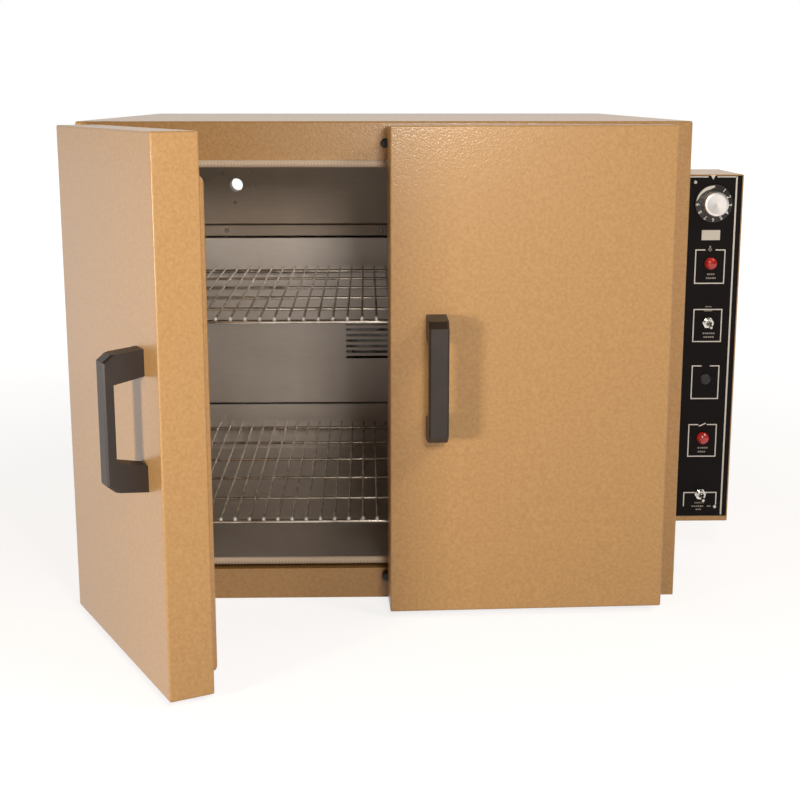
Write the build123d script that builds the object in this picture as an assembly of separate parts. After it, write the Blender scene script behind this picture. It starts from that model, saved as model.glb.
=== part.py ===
from build123d import *
import math
import os

# Electric bench oven for the laboratory, with two hinged doors, two wire shelves,
# a fan-circulated chamber and a control box on its right side.
# Millimetres. Every piece is drawn with X = 0 in the middle of the cabinet, Y = 0 on the
# cabinet's front face and Z = 0 on the bench. save() then moves it back by half the
# cabinet's depth, so that the origin of the finished part is the middle of the base.

# Cabinet
CABINET_WIDTH = 813.0
CABINET_HEIGHT = 659.0
CABINET_DEPTH = 775.0
SHEET = 1.5
CASING_BEND = 3.0
FRAME_TOP = 50.0
FRAME_BOTTOM = 43.0
FRAME_SIDE = 48.0
FRAME_RETURN = 20.0
REAR_FLANGE = 22.0
PAN_FLANGE = 25.0
FIT_GAP = 0.5

# Chamber
SIDE_WALL = 59.5
TOP_WALL = 57.5
BACK_WALL = 78.0
CHAMBER_HALF_WIDTH = CABINET_WIDTH / 2 - SIDE_WALL
CHAMBER_FLOOR = 57.0
CHAMBER_CEILING = CABINET_HEIGHT - TOP_WALL
CHAMBER_FRONT = 6.0
CHAMBER_DEPTH = CABINET_DEPTH - BACK_WALL - CHAMBER_FRONT
LINER_SHEET = 1.2
LINER_FLANGE = 7.5
SEAL_RADIUS = 5.0
SEAL_CORNER = 14.0

# Rear wall of the chamber, in three panels in front of the air plenum
PLENUM = 57.0
PANEL_SIDE_GAP = 2.0
SLOT_LOW = 140.0
SLOT_LOW_HEIGHT = 3.5
SLOT_HIGH = 443.0
SLOT_HIGH_HEIGHT = 5.0
DUCT_FACE = 2.0
DUCT_STEP = 3.2
DUCT_FLANGE = 18.0
PANEL_FOLD = 14.0
INLET_SLOTS = 7
INLET_SLOT_LENGTH = 128.0
INLET_SLOT_HEIGHT = 5.0
INLET_PITCH = 10.1
INLET_HEIGHT = 257.0

# Vent through the upper duct panel and the back of the oven
VENT_X = -255.1
VENT_Z = 537.0
VENT_BORE = 23.0
VENT_PLATE = 85.0
VENT_BUSH_LENGTH = 46.0
VENT_SLEEVE_BORE = 54.0
TUBE_WALL = 1.5

# Blower, heater and motor behind the rear wall
BLOWER_RADIUS = 74.0
BLOWER_WIDTH = 30.0
BLOWER_BLADES = 24
SHAFT_RADIUS = 4.0
SHAFT_RUNNING_GAP = 0.05
SHAFT_HOLE = 10.0
THERMO_SHAFT = 3.0
THERMO_DEPTH = 34.0
SHAFT_COLLAR = 4.5
MOTOR_RADIUS = 42.0
MOTOR_LENGTH = 78.0
MOTOR_PLATE_SIZE = 110.0
MOTOR_PLATE = 3.0
MOTOR_COVER_WIDTH = 216.0
MOTOR_COVER_HEIGHT = 236.0
MOTOR_COVER_DEPTH = 104.0
COVER_SLOTS = 7
COVER_SLOT_PITCH = 14.0
COVER_EAR = 10.0
HEATER_RADIUS = 92.0
HEATER_ROD = 4.0
HEATER_BUSH = 8.0
HEATER_GAP = 0.3

# Thermostat bulb and the wiring's way through the side
BULB_Z = 560.0
BULB_RADIUS = 3.0
BULB_LENGTH = 90.0
BULB_STANDOFF = 9.0
CAPILLARY_Y = 150.0
CAPILLARY_HOLE = 4.0
CAPILLARY_RADIUS = 1.2
NIPPLE_Y = 118.0
NIPPLE_Z = 340.0
NIPPLE_RADIUS = 10.0

# Screws
SCREW_RADIUS = 2.0
SCREW_HEAD = 4.2
SCREW_HEAD_HEIGHT = 2.2
PANEL_SCREW = 1.6
DUCT_SCREW_HEAD = 3.6
VENT_SCREW_HEAD = 3.0
VENT_SCREW_CIRCLE = 31.0
VENT_SCREW_ANGLES = (0, 45, 140, 265)
DUCT_SCREWS_X = (-274.0, 0.0, 274.0)

# Shelves and their racks
SHELF_FRONT = 25.0
SHELF_PITCH = 115.0
SHELF_CROSS_RODS = 6
SHELF_WIRES = 34
SHELF_WIRE_PITCH = 20.0
SHELF_OFFSET = -2.4
SHELF_WIRE_RADIUS = 1.75
SHELF_ROD_RADIUS = 3.0
SHELF_OVERHANG = 4.0
SHELF_REAR_OVERHANG = 27.0
SHELF_HALF_WIDTH = CHAMBER_HALF_WIDTH - 7.0
UPPER_SHELF_Z = 389.0
LOWER_SHELF_Z = 104.5
RACK_LEVELS = 6
RACK_RUNNER = 12.0
RACK_SHEET = 1.5
RACK_UPRIGHT = 22.0
RACK_UPRIGHTS_Y = (70.0, 540.0)
RACK_GAP = 0.3

# Doors
DOOR_INSET = 34.5
DOOR_GAP = 3.4
DOOR_THICKNESS = 55.0
DOOR_STANDOFF = 14.0
DOOR_TOP_REVEAL = 3.8
DOOR_BOTTOM_REVEAL = 9.0
DOOR_BEND = 2.5
DOOR_FLANGE = 18.0
PLUG_PROUD = 9.5
PLUG_FREE_INSET = 12.0
PLUG_HINGE_INSET = 45.0
PLUG_TOP = CABINET_HEIGHT - 53.0
PLUG_BOTTOM = 30.0
PLUG_CORNER = 9.0
LEFT_OPEN = 63.03
RIGHT_OPEN = 2.4

# Piano hinges
PIVOT_OUTSIDE = 4.5
KNUCKLE_RADIUS = 4.0
PIN_RADIUS = 1.8
PIN_RUNNING_GAP = 0.06
LEAF = 1.5
LEAF_WIDTH = 19.0
KNUCKLES = 9
KNUCKLE_GAP = 0.6
HINGE_END = 38.0
KNUCKLE_CLEARANCE = 0.35
RAIL_WIDTH = 13.0

# Door handles
HANDLE_EDGE = 47.0
HANDLE_WIDTH = 26.0
HANDLE_DEPTH = 48.0
HANDLE_BASE = 166.0
HANDLE_GRIP = 12.0
HANDLE_LEG = 31.0
HANDLE_CHAMFER = 2.5
HANDLE_Z = 332.0
HANDLE_SCREW_RADIUS = 2.5

# Door magnets
MAGNET_RADIUS = 6.0
MAGNET_TOP = CABINET_HEIGHT - 28.0
MAGNET_BOTTOM = 34.0
MAGNET_GAP = 0.4

# Control box
BOX_WIDTH = 84.0
BOX_FRONT = 47.0
BOX_DEPTH = 142.0
BOX_BOTTOM = 94.0
BOX_TOP = 586.5
BOX_BEND = 1.8
OVERLAY = 0.8
OVERLAY_SIDE = 2.2
OVERLAY_LOW = 8.0
CONTROL_X = CABINET_WIDTH / 2 + 43.0
DIAL_Z = 547.5
LAMP_HIGH_Z = 464.7
SWITCH_HIGH_Z = 382.3
BLANK_Z = 301.8
LAMP_LOW_Z = 216.8
SWITCH_LOW_Z = 134.6
DIAL_RADIUS = 25.9
DIAL_STANDOFF = 1.6
DIAL_SKIRT = 2.2
KNOB_RADIUS = 16.8
KNOB_HEIGHT = 17.0
LAMP_RADIUS = 8.7
LAMP_PROUD = 8.0
LAMP_BODY_RADIUS = 6.0
SWITCH_BUSH_RADIUS = 5.9
SWITCH_BORE = 3.7
SWITCH_PROUD = 9.0
SWITCH_BALL = 3.4
LEVER_LENGTH = 17.0
LEVER_REST = 14.0
LEVER_TAIL = 6.5
NUT_FLATS = 14.0
NUT_THICKNESS = 2.4
BLANK_RADIUS = 7.4
GLAND_RADIUS = 8.0
PANEL_SCREWS = ((CONTROL_X - 26.1, 576.2), (CONTROL_X + 21.5, 116.0))

OPENING_HALF_WIDTH = CABINET_WIDTH / 2 - FRAME_SIDE
OPENING_TOP = CABINET_HEIGHT - FRAME_TOP
OPENING_BOTTOM = FRAME_BOTTOM
CHAMBER_BACK = CHAMBER_FRONT + CHAMBER_DEPTH
REAR_WALL = CHAMBER_BACK - PLENUM
DOOR_WIDTH = (CABINET_WIDTH - 2 * DOOR_INSET - DOOR_GAP) / 2
DOOR_TOP = CABINET_HEIGHT - DOOR_TOP_REVEAL
DOOR_BOTTOM = DOOR_BOTTOM_REVEAL
DOOR_BACK = -DOOR_STANDOFF
DOOR_FRONT = DOOR_BACK - DOOR_THICKNESS
HINGE_EDGE = CABINET_WIDTH / 2 - DOOR_INSET
PIVOT_X = HINGE_EDGE + PIVOT_OUTSIDE
PIVOT_Y = DOOR_BACK + FIT_GAP - KNUCKLE_RADIUS + LEAF
BOX_LEFT = CABINET_WIDTH / 2
BOX_RIGHT = BOX_LEFT + BOX_WIDTH
BOX_BACK = BOX_FRONT + BOX_DEPTH
PANEL_FACE = BOX_FRONT - OVERLAY


def block(x0, x1, y0, y1, z0, z1):
    """A box between two corners."""
    centre = ((x0 + x1) / 2, (y0 + y1) / 2, (z0 + z1) / 2)
    return Pos(*centre) * Box(abs(x1 - x0), abs(y1 - y0), abs(z1 - z0))


def rod_x(x0, x1, y, z, radius):
    """A round bar along X."""
    return Pos((x0 + x1) / 2, y, z) * Rot(0, 90, 0) * Cylinder(radius, x1 - x0)


def rod_y(x, y0, y1, z, radius):
    """A round bar along Y."""
    return Pos(x, (y0 + y1) / 2, z) * Rot(90, 0, 0) * Cylinder(radius, y1 - y0)


def rod_z(x, y, z0, z1, radius):
    """A round bar along Z."""
    return Pos(x, y, (z0 + z1) / 2) * Cylinder(radius, z1 - z0)


def tube_y(x, y0, y1, z, outer, inner):
    """A round tube along Y."""
    return rod_y(x, y0, y1, z, outer) - rod_y(x, y0 - 1, y1 + 1, z, inner)


def section_x(points, x0, x1):
    """A prism along X from an outline of (y, z) points."""
    face = make_face(Polyline(*[(0, y, z) for y, z in points], close=True))
    return Pos(x0, 0, 0) * extrude(face, amount=x1 - x0, dir=(1, 0, 0))


def turned_y(profile, x, z):
    """A solid of revolution about a line along Y, from (radius, y) points."""
    face = make_face(Polyline(*[(r, y, 0) for r, y in profile], close=True))
    return Pos(x, 0, z) * revolve(face, Axis.Y, 360)


def mirror_x(shape):
    """The same shape on the other side of the cabinet's middle."""
    return mirror(shape, about=Plane.YZ)


def save(shape, name):
    """Write one node with its origin in the middle of the base."""
    export_step(Pos(0, -CABINET_DEPTH / 2, 0) * shape, "parts/" + name + ".step")


def group(shapes):
    """Separate solids that share one node."""
    return Compound(children=list(shapes))


# The cabinet


def outer_casing():
    """The wrapper with its mitred front frame, the frame's returns and rear flanges."""
    half = CABINET_WIDTH / 2
    skin = block(-half, half, 0, CABINET_DEPTH, 0, CABINET_HEIGHT)
    bends = skin.edges().filter_by(Axis.Y).sort_by(Axis.Z)[-2:]
    bends += skin.faces().sort_by(Axis.Y)[0].edges().filter_by(Axis.Z)
    bends += skin.faces().sort_by(Axis.Y)[0].edges().sort_by(Axis.Z)[-1:]
    skin = fillet(bends, CASING_BEND)
    skin -= block(-half + SHEET, half - SHEET, SHEET, CABINET_DEPTH + 1, -1, CABINET_HEIGHT - SHEET)
    mouth = block(-OPENING_HALF_WIDTH, OPENING_HALF_WIDTH, -1, FRAME_RETURN + 1, OPENING_BOTTOM, OPENING_TOP)
    lip = block(
        -OPENING_HALF_WIDTH - SHEET,
        OPENING_HALF_WIDTH + SHEET,
        SHEET / 2,
        FRAME_RETURN,
        OPENING_BOTTOM - SHEET,
        OPENING_TOP + SHEET,
    )
    rear_y = CABINET_DEPTH - 2 * SHEET
    rear = block(-half + SHEET / 2, half - SHEET / 2, rear_y, rear_y + SHEET, 0, CABINET_HEIGHT - SHEET / 2)
    rear -= block(
        -half + REAR_FLANGE,
        half - REAR_FLANGE,
        rear_y - 1,
        CABINET_DEPTH,
        REAR_FLANGE,
        CABINET_HEIGHT - REAR_FLANGE,
    )
    casing = skin + lip + rear - mouth
    nipple_hole = rod_x(half - 5, half + 5, NIPPLE_Y, NIPPLE_Z, NIPPLE_RADIUS)
    capillary_hole = rod_x(half - 5, half + 5, CAPILLARY_Y, BULB_Z, CAPILLARY_HOLE)
    for x, z in rear_screw_places():
        casing -= rod_y(x, rear_y - 1, rear_y + 5, z, SCREW_RADIUS)
    return casing - nipple_hole - capillary_hole


def base_pan():
    """The bottom sheet with its four upturned flanges."""
    half = CABINET_WIDTH / 2 - SHEET
    back = CABINET_DEPTH - 2 * SHEET
    pan = block(-half, half, SHEET, back, 0, PAN_FLANGE)
    return pan - block(-half + SHEET, half - SHEET, 2 * SHEET, back - SHEET, SHEET, PAN_FLANGE + 1)


def rear_cover():
    """The back sheet, with holes for the shaft, the heater legs and the vent sleeve."""
    half = CABINET_WIDTH / 2 - SHEET - FIT_GAP
    top = CABINET_HEIGHT - SHEET - FIT_GAP
    cover = block(-half, half, CABINET_DEPTH - SHEET, CABINET_DEPTH, FIT_GAP, top)
    cover -= rod_y(0, CABINET_DEPTH - 5, CABINET_DEPTH + 5, INLET_HEIGHT, SHAFT_HOLE)
    cover -= rod_y(VENT_X, CABINET_DEPTH - 5, CABINET_DEPTH + 5, VENT_Z, VENT_SLEEVE_BORE / 2 + TUBE_WALL)
    for x, z in heater_legs():
        cover -= rod_y(x, CABINET_DEPTH - 5, CABINET_DEPTH + 5, z, HEATER_BUSH)
    for x, z in rear_screw_places() + cover_screw_places():
        cover -= rod_y(x, CABINET_DEPTH - 5, CABINET_DEPTH + 5, z, SCREW_RADIUS)
    return cover


def screw_back(x, y, z, shank):
    """A pan-head screw driven forwards into a rear face at y."""
    head = [(0, y + SCREW_HEAD_HEIGHT), (SCREW_HEAD * 0.7, y + SCREW_HEAD_HEIGHT), (SCREW_HEAD, y + 0.8)]
    body = [(SCREW_HEAD, y), (SCREW_RADIUS, y), (SCREW_RADIUS, y - shank), (0, y - shank)]
    return turned_y(head + body, x, z)


def screw_front(x, y, z, shank, radius=SCREW_RADIUS, head_radius=SCREW_HEAD):
    """A pan-head screw driven backwards into a front face at y."""
    head = [(0, y - SCREW_HEAD_HEIGHT), (head_radius * 0.7, y - SCREW_HEAD_HEIGHT), (head_radius, y - 0.8)]
    body = [(head_radius, y), (radius, y), (radius, y + shank), (0, y + shank)]
    return turned_y(head + body, x, z)


def rear_screw_places():
    """Screws round the rear cover, on the casing's flanges."""
    x = CABINET_WIDTH / 2 - REAR_FLANGE / 2
    top = CABINET_HEIGHT - REAR_FLANGE / 2
    low = REAR_FLANGE / 2
    middle = CABINET_HEIGHT / 2
    return [(-x, low), (0, low), (x, low), (-x, middle), (x, middle), (-x, top), (0, top), (x, top)]


def rear_screws():
    """The screws of the rear cover and the motor cover."""
    screws = [screw_back(x, CABINET_DEPTH, z, 2 * SHEET) for x, z in rear_screw_places()]
    screws += [screw_back(x, CABINET_DEPTH + SHEET, z, 2 * SHEET) for x, z in cover_screw_places()]
    return group(screws)


# The chamber


def chamber_liner():
    """The inner box with its folded mouth, with holes for what passes its walls."""
    half = CHAMBER_HALF_WIDTH
    floor = CHAMBER_FLOOR
    ceiling = CHAMBER_CEILING
    wall = LINER_SHEET
    shell = block(-half - wall, half + wall, CHAMBER_FRONT, CHAMBER_BACK + wall, floor - wall, ceiling + wall)
    mouth = block(
        -half - LINER_FLANGE,
        half + LINER_FLANGE,
        CHAMBER_FRONT,
        CHAMBER_FRONT + wall,
        floor - LINER_FLANGE,
        ceiling + LINER_FLANGE - 1,
    )
    liner = shell + mouth - block(-half, half, CHAMBER_FRONT - 1, CHAMBER_BACK, floor, ceiling)
    liner -= rod_y(0, CHAMBER_BACK - 5, CHAMBER_BACK + 5, INLET_HEIGHT, SHAFT_HOLE)
    liner -= rod_y(VENT_X, CHAMBER_BACK - 5, CHAMBER_BACK + 5, VENT_Z, VENT_SLEEVE_BORE / 2)
    for x, z in heater_legs():
        liner -= rod_y(x, CHAMBER_BACK - 5, CHAMBER_BACK + 5, z, HEATER_BUSH)
    return liner - rod_x(half - 5, half + 5, CAPILLARY_Y, BULB_Z, CAPILLARY_HOLE)


def insulation_slabs():
    """Mineral wool slabs round the liner: bottom, top, two sides and rear."""
    half_out = CABINET_WIDTH / 2 - SHEET
    half_in = CHAMBER_HALF_WIDTH + LINER_SHEET
    low = CHAMBER_FLOOR - LINER_SHEET
    high = CHAMBER_CEILING + LINER_SHEET
    front = FRAME_RETURN + FIT_GAP
    back = CHAMBER_BACK + LINER_SHEET
    inset = SHEET + FIT_GAP
    bottom = block(-half_out + inset, half_out - inset, front, back, SHEET, low)
    top = block(-half_out, half_out, front, back, high, CABINET_HEIGHT - SHEET)
    left = block(-half_out, -half_in, front, back, low, high)
    right = block(half_in, half_out, front, back, low, high)
    right -= rod_x(half_in - 5, half_out + 5, CAPILLARY_Y, BULB_Z, CAPILLARY_HOLE)
    right -= rod_x(half_in - 5, half_out + 5, NIPPLE_Y, NIPPLE_Z, NIPPLE_RADIUS + FIT_GAP)
    rear_end = CABINET_DEPTH - 2 * SHEET
    rear = block(-half_out + inset, half_out - inset, back, rear_end, PAN_FLANGE + FIT_GAP, CABINET_HEIGHT - SHEET)
    rear -= rod_y(0, back - 5, rear_end + 5, INLET_HEIGHT, SHAFT_HOLE)
    rear -= rod_y(VENT_X, back - 5, rear_end + 5, VENT_Z, VENT_SLEEVE_BORE / 2 + TUBE_WALL)
    for x, z in heater_legs():
        rear -= rod_y(x, back - 5, rear_end + 5, z, HEATER_BUSH)
    return group([bottom, top, left, right, rear])


def door_seal():
    """The round glass-fibre seal that lies in the groove round the chamber's mouth."""
    half = OPENING_HALF_WIDTH - SEAL_RADIUS - FIT_GAP
    top = OPENING_TOP - SEAL_RADIUS
    bottom = CHAMBER_FLOOR - 2.0
    y = CHAMBER_FRONT - SEAL_RADIUS
    outline = RectangleRounded(2 * half, top - bottom, SEAL_CORNER)
    path = (Plane((0, y, (top + bottom) / 2), x_dir=(1, 0, 0), z_dir=(0, -1, 0)) * outline).face().outer_wire()
    start = Plane(path @ 0, z_dir=path % 0)
    return sweep(start * Circle(SEAL_RADIUS), path=path)


def inlet_slots():
    """The cutters of the slotted air inlet in the middle of the rear wall."""
    cutters = []
    for i in range(INLET_SLOTS):
        z = INLET_HEIGHT + (i - (INLET_SLOTS - 1) / 2) * INLET_PITCH
        slot = SlotOverall(INLET_SLOT_LENGTH, INLET_SLOT_HEIGHT)
        plane = Plane((0, REAR_WALL - 2, z), x_dir=(1, 0, 0), z_dir=(0, 1, 0))
        cutters.append(extrude(plane * slot, amount=2 + LINER_SHEET * 2))
    return cutters


def channel_panel(z0, z1):
    """A rear wall panel with its top and bottom folds and side returns to the back."""
    half = CHAMBER_HALF_WIDTH - PANEL_SIDE_GAP
    wall = LINER_SHEET
    panel = block(-half, half, REAR_WALL, CHAMBER_BACK, z0, z1)
    inside = block(-half + wall, half - wall, REAR_WALL + wall, CHAMBER_BACK + 1, z0 + wall, z1 - wall)
    behind = block(-half + wall, half - wall, REAR_WALL + PANEL_FOLD, CHAMBER_BACK + 1, z0 - 1, z1 + 1)
    return panel - inside - behind


def rear_wall_panel():
    """The middle panel, with the slotted inlet in front of the blower."""
    panel = channel_panel(SLOT_LOW + SLOT_LOW_HEIGHT, SLOT_HIGH)
    for cutter in inlet_slots():
        panel -= cutter
    return panel


def lower_wall_panel():
    """The panel between the chamber's floor and the lower air slot."""
    return channel_panel(CHAMBER_FLOOR, SLOT_LOW)


def upper_duct_panel():
    """The upper panel, which steps forward at its foot to a bright screw flange."""
    half = CHAMBER_HALF_WIDTH - PANEL_SIDE_GAP
    wall = LINER_SHEET
    z0 = SLOT_HIGH + SLOT_HIGH_HEIGHT
    z1 = z0 + DUCT_FLANGE
    face = REAR_WALL - DUCT_FACE
    foot = face - DUCT_STEP
    outline = [
        (foot, z0),
        (foot + wall, z0),
        (foot + wall, z1 - wall / 2),
        (face + wall, z1 + DUCT_STEP - wall / 2),
        (face + wall, CHAMBER_CEILING),
        (face, CHAMBER_CEILING),
        (face, z1 + DUCT_STEP),
        (foot, z1),
    ]
    panel = section_x(outline, -half, half)
    for side in (-1, 1):
        x = side * half
        inner = x - side * wall
        panel += block(min(x, inner), max(x, inner), foot, CHAMBER_BACK, z0, CHAMBER_CEILING)
    for x, z in duct_screw_places():
        panel -= rod_y(x, foot - 5, foot + 5, z, SCREW_RADIUS)
    for x, z in vent_screw_places():
        panel -= rod_y(x, face - 5, face + 5, z, PANEL_SCREW)
    return panel - rod_y(VENT_X, face - 5, face + 5, VENT_Z, VENT_BORE / 2 + TUBE_WALL)


def vent_bush():
    """The flanged bush of the vent in the upper duct panel."""
    face = REAR_WALL - DUCT_FACE
    outer = VENT_BORE / 2 + TUBE_WALL
    plate = rod_y(VENT_X, face - TUBE_WALL, face, VENT_Z, VENT_PLATE / 2)
    for x, z in vent_screw_places():
        plate -= rod_y(x, face - 5, face + 5, z, PANEL_SCREW)
    bush = rod_y(VENT_X, face - 2 * TUBE_WALL, face - 2 * TUBE_WALL + VENT_BUSH_LENGTH, VENT_Z, outer)
    return plate + bush - rod_y(VENT_X, face - 9, face + VENT_BUSH_LENGTH + 9, VENT_Z, VENT_BORE / 2)


def vent_sleeve():
    """The wide sleeve that carries the vent through the rear insulation."""
    outer = VENT_SLEEVE_BORE / 2 + TUBE_WALL
    start = CHAMBER_BACK + LINER_SHEET
    return tube_y(VENT_X, start, CABINET_DEPTH + 6, VENT_Z, outer, VENT_SLEEVE_BORE / 2)


def duct_screw_places():
    """Screws along the duct panel's flange."""
    z = SLOT_HIGH + SLOT_HIGH_HEIGHT + DUCT_FLANGE / 2
    return [(x, z) for x in DUCT_SCREWS_X]


def vent_screw_places():
    """Screws round the vent's plate."""
    places = []
    for angle in VENT_SCREW_ANGLES:
        x = VENT_X + VENT_SCREW_CIRCLE * math.cos(math.radians(angle))
        places.append((x, VENT_Z + VENT_SCREW_CIRCLE * math.sin(math.radians(angle))))
    return places


def chamber_screws():
    """Screws of the duct panel's flange and of the vent's plate."""
    flange = REAR_WALL - DUCT_FACE - DUCT_STEP
    plate = REAR_WALL - DUCT_FACE - TUBE_WALL
    shank = TUBE_WALL + LINER_SHEET
    screws = [screw_front(x, flange, z, LINER_SHEET, head_radius=DUCT_SCREW_HEAD) for x, z in duct_screw_places()]
    screws += [screw_front(x, plate, z, shank, PANEL_SCREW, VENT_SCREW_HEAD) for x, z in vent_screw_places()]
    return group(screws)


# Shelves and racks


def rack_levels():
    """Heights of the runners' top faces: the two shelves' and the ones between and above."""
    step = (UPPER_SHELF_Z - LOWER_SHELF_Z) / 4
    base = LOWER_SHELF_Z - SHELF_ROD_RADIUS - RACK_GAP
    return [base + step * i for i in range(RACK_LEVELS)]


def left_shelf_rack():
    """Two uprights on the left wall that carry six pairs of angle runners."""
    wall = -CHAMBER_HALF_WIDTH
    levels = rack_levels()
    rack = None
    for y in RACK_UPRIGHTS_Y:
        upright = block(wall, wall + RACK_SHEET, y, y + RACK_UPRIGHT, CHAMBER_FLOOR, levels[-1] + 40)
        rack = upright if rack is None else rack + upright
    for z in levels:
        front = SHELF_FRONT - 6
        back = SHELF_FRONT + SHELF_PITCH * (SHELF_CROSS_RODS - 1) + SHELF_REAR_OVERHANG
        inner = wall + RACK_SHEET
        ledge = block(inner, inner + RACK_RUNNER, front, back, z - RACK_SHEET, z)
        web = block(inner, inner + RACK_SHEET, front, back, z - RACK_RUNNER, z)
        rack += ledge + web
    return rack


def shelf(z):
    """A welded wire shelf: rods across it, and wires from front to back on top of them."""
    middle = SHELF_OFFSET
    back = SHELF_FRONT + SHELF_PITCH * (SHELF_CROSS_RODS - 1)
    pieces = []
    for i in range(SHELF_CROSS_RODS):
        y = SHELF_FRONT + SHELF_PITCH * i
        radius = SHELF_ROD_RADIUS if i in (0, SHELF_CROSS_RODS - 1) else SHELF_ROD_RADIUS * 0.75
        centre = z + SHELF_ROD_RADIUS - radius
        pieces.append(rod_x(middle - SHELF_HALF_WIDTH, middle + SHELF_HALF_WIDTH, y, centre, radius))
    wire_z = z + SHELF_ROD_RADIUS + SHELF_WIRE_RADIUS
    for i in range(SHELF_WIRES):
        x = middle + (i - (SHELF_WIRES - 1) / 2) * SHELF_WIRE_PITCH
        pieces.append(rod_y(x, SHELF_FRONT - SHELF_OVERHANG, back + SHELF_REAR_OVERHANG, wire_z, SHELF_WIRE_RADIUS))
    return group(pieces)


# Blower, heater, motor and thermostat bulb


def heater_legs():
    """Where the two cold legs of the heater pass the rear wall."""
    angle = math.radians(20)
    x = HEATER_RADIUS * math.sin(angle)
    z = INLET_HEIGHT - HEATER_RADIUS * math.cos(angle)
    return [(-x, z), (x, z)]


def heater_element():
    """A sheathed heater bent round the blower, with its legs out through the back."""
    y = CHAMBER_BACK - PLENUM / 2
    (left_x, leg_z), (right_x, _) = heater_legs()
    top = (0, y, INLET_HEIGHT + HEATER_RADIUS)
    end_y = CABINET_DEPTH + 22
    arc = ThreePointArc((left_x, y, leg_z), top, (right_x, y, leg_z))
    ring = sweep(Plane(arc @ 0, z_dir=arc % 0) * Circle(HEATER_ROD), path=arc)
    legs = [rod_y(x, y, end_y, leg_z, HEATER_ROD) for x in (left_x, right_x)]
    knees = [Pos(x, y, leg_z) * Sphere(HEATER_ROD) for x in (left_x, right_x)]
    return ring + legs[0] + legs[1] + knees[0] + knees[1]


def heater_bushings():
    """Ceramic bushings that carry the heater's legs in the liner and the rear cover."""
    bushings = []
    for x, z in heater_legs():
        inner = HEATER_ROD + HEATER_GAP
        barrel = tube_y(x, CHAMBER_BACK - 3, CABINET_DEPTH + 6, z, HEATER_BUSH, inner)
        collar = tube_y(x, CHAMBER_BACK - 6, CHAMBER_BACK, z, HEATER_BUSH + 3, inner)
        bushings.append(barrel + collar)
    return group(bushings)


def blower_wheel():
    """A radial blower wheel: hub, back plate, blades and a front ring."""
    back = CHAMBER_BACK - 8
    front = back - BLOWER_WIDTH
    plate = tube_y(0, back - 1.5, back, INLET_HEIGHT, BLOWER_RADIUS, SHAFT_RADIUS)
    hub = tube_y(0, back - 16, back - 1, INLET_HEIGHT, 13, SHAFT_RADIUS)
    ring = tube_y(0, front, front + 1.5, INLET_HEIGHT, BLOWER_RADIUS, BLOWER_RADIUS - 16)
    wheel = plate + hub + ring
    for i in range(BLOWER_BLADES):
        blade = block(-0.6, 0.6, front + 0.7, back - 0.7, BLOWER_RADIUS - 16, BLOWER_RADIUS - 0.5)
        wheel += Pos(0, 0, INLET_HEIGHT) * Rot(0, 360 * i / BLOWER_BLADES, 0) * blade
    return wheel


def motor_shaft():
    """The shaft from the blower wheel to the motor."""
    return rod_y(0, CHAMBER_BACK - 26, CABINET_DEPTH + 62, INLET_HEIGHT, SHAFT_RADIUS)


def shaft_seal():
    """The heat slinger's seal disc on the outside of the liner."""
    bore = SHAFT_RADIUS + 0.4
    return tube_y(0, CHAMBER_BACK - 2.5, CHAMBER_BACK, INLET_HEIGHT, 22, bore)


def motor_plate():
    """The plate that carries the motor on the rear cover."""
    half = MOTOR_PLATE_SIZE / 2
    z = INLET_HEIGHT
    plate = block(-half, half, CABINET_DEPTH, CABINET_DEPTH + MOTOR_PLATE, z - half, z + half)
    plate = fillet(plate.edges().filter_by(Axis.Y), 10)
    return plate - rod_y(0, CABINET_DEPTH - 1, CABINET_DEPTH + MOTOR_PLATE + 1, z, SHAFT_HOLE)


def motor():
    """The blower motor: a finned can with end bells and a bore for the shaft."""
    y0 = CABINET_DEPTH + MOTOR_PLATE
    y1 = y0 + MOTOR_LENGTH
    z = INLET_HEIGHT
    radius = MOTOR_RADIUS
    profile = [
        (0, y0),
        (radius - 10, y0),
        (radius - 10, y0 + 8),
        (radius - 2, y0 + 14),
        (radius, y0 + 14),
        (radius, y1 - 16),
        (radius - 2, y1 - 16),
        (radius - 8, y1 - 4),
        (14, y1 - 4),
        (14, y1),
        (0, y1),
    ]
    can = turned_y(profile, 0, z)
    return can - rod_y(0, y0 - 1, CABINET_DEPTH + 63, z, SHAFT_RADIUS + SHAFT_RUNNING_GAP)


def motor_cover():
    """The sheet cover over the motor and heater terminals, with cooling slots."""
    half = MOTOR_COVER_WIDTH / 2
    y0 = CABINET_DEPTH
    y1 = y0 + MOTOR_COVER_DEPTH
    z0 = INLET_HEIGHT - MOTOR_COVER_HEIGHT / 2
    z1 = INLET_HEIGHT + MOTOR_COVER_HEIGHT / 2
    cover = block(-half, half, y0, y1, z0, z1)
    cover = fillet(cover.faces().sort_by(Axis.Y)[-1].edges(), 4)
    cover -= block(-half + SHEET, half - SHEET, y0 - 1, y1 - SHEET, z0 + SHEET, z1 - SHEET)
    for i in range(COVER_SLOTS):
        z = INLET_HEIGHT + (i - (COVER_SLOTS - 1) / 2) * COVER_SLOT_PITCH
        cover -= block(-half * 0.6, half * 0.6, y1 - 5, y1 + 5, z - 2.5, z + 2.5)
    for side in (-1, 1):
        x = side * (half + COVER_EAR)
        x_in = side * (half - SHEET)
        ear = block(min(x, x_in), max(x, x_in), y0, y0 + SHEET, INLET_HEIGHT - 20, INLET_HEIGHT + 20)
        cover += ear
    for x, z in cover_screw_places():
        cover -= rod_y(x, y0 - 1, y0 + 5, z, SCREW_RADIUS)
    return cover


def cover_screw_places():
    """Screws in the motor cover's ears."""
    x = MOTOR_COVER_WIDTH / 2 + COVER_EAR / 2
    return [(-x, INLET_HEIGHT), (x, INLET_HEIGHT)]


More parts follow.
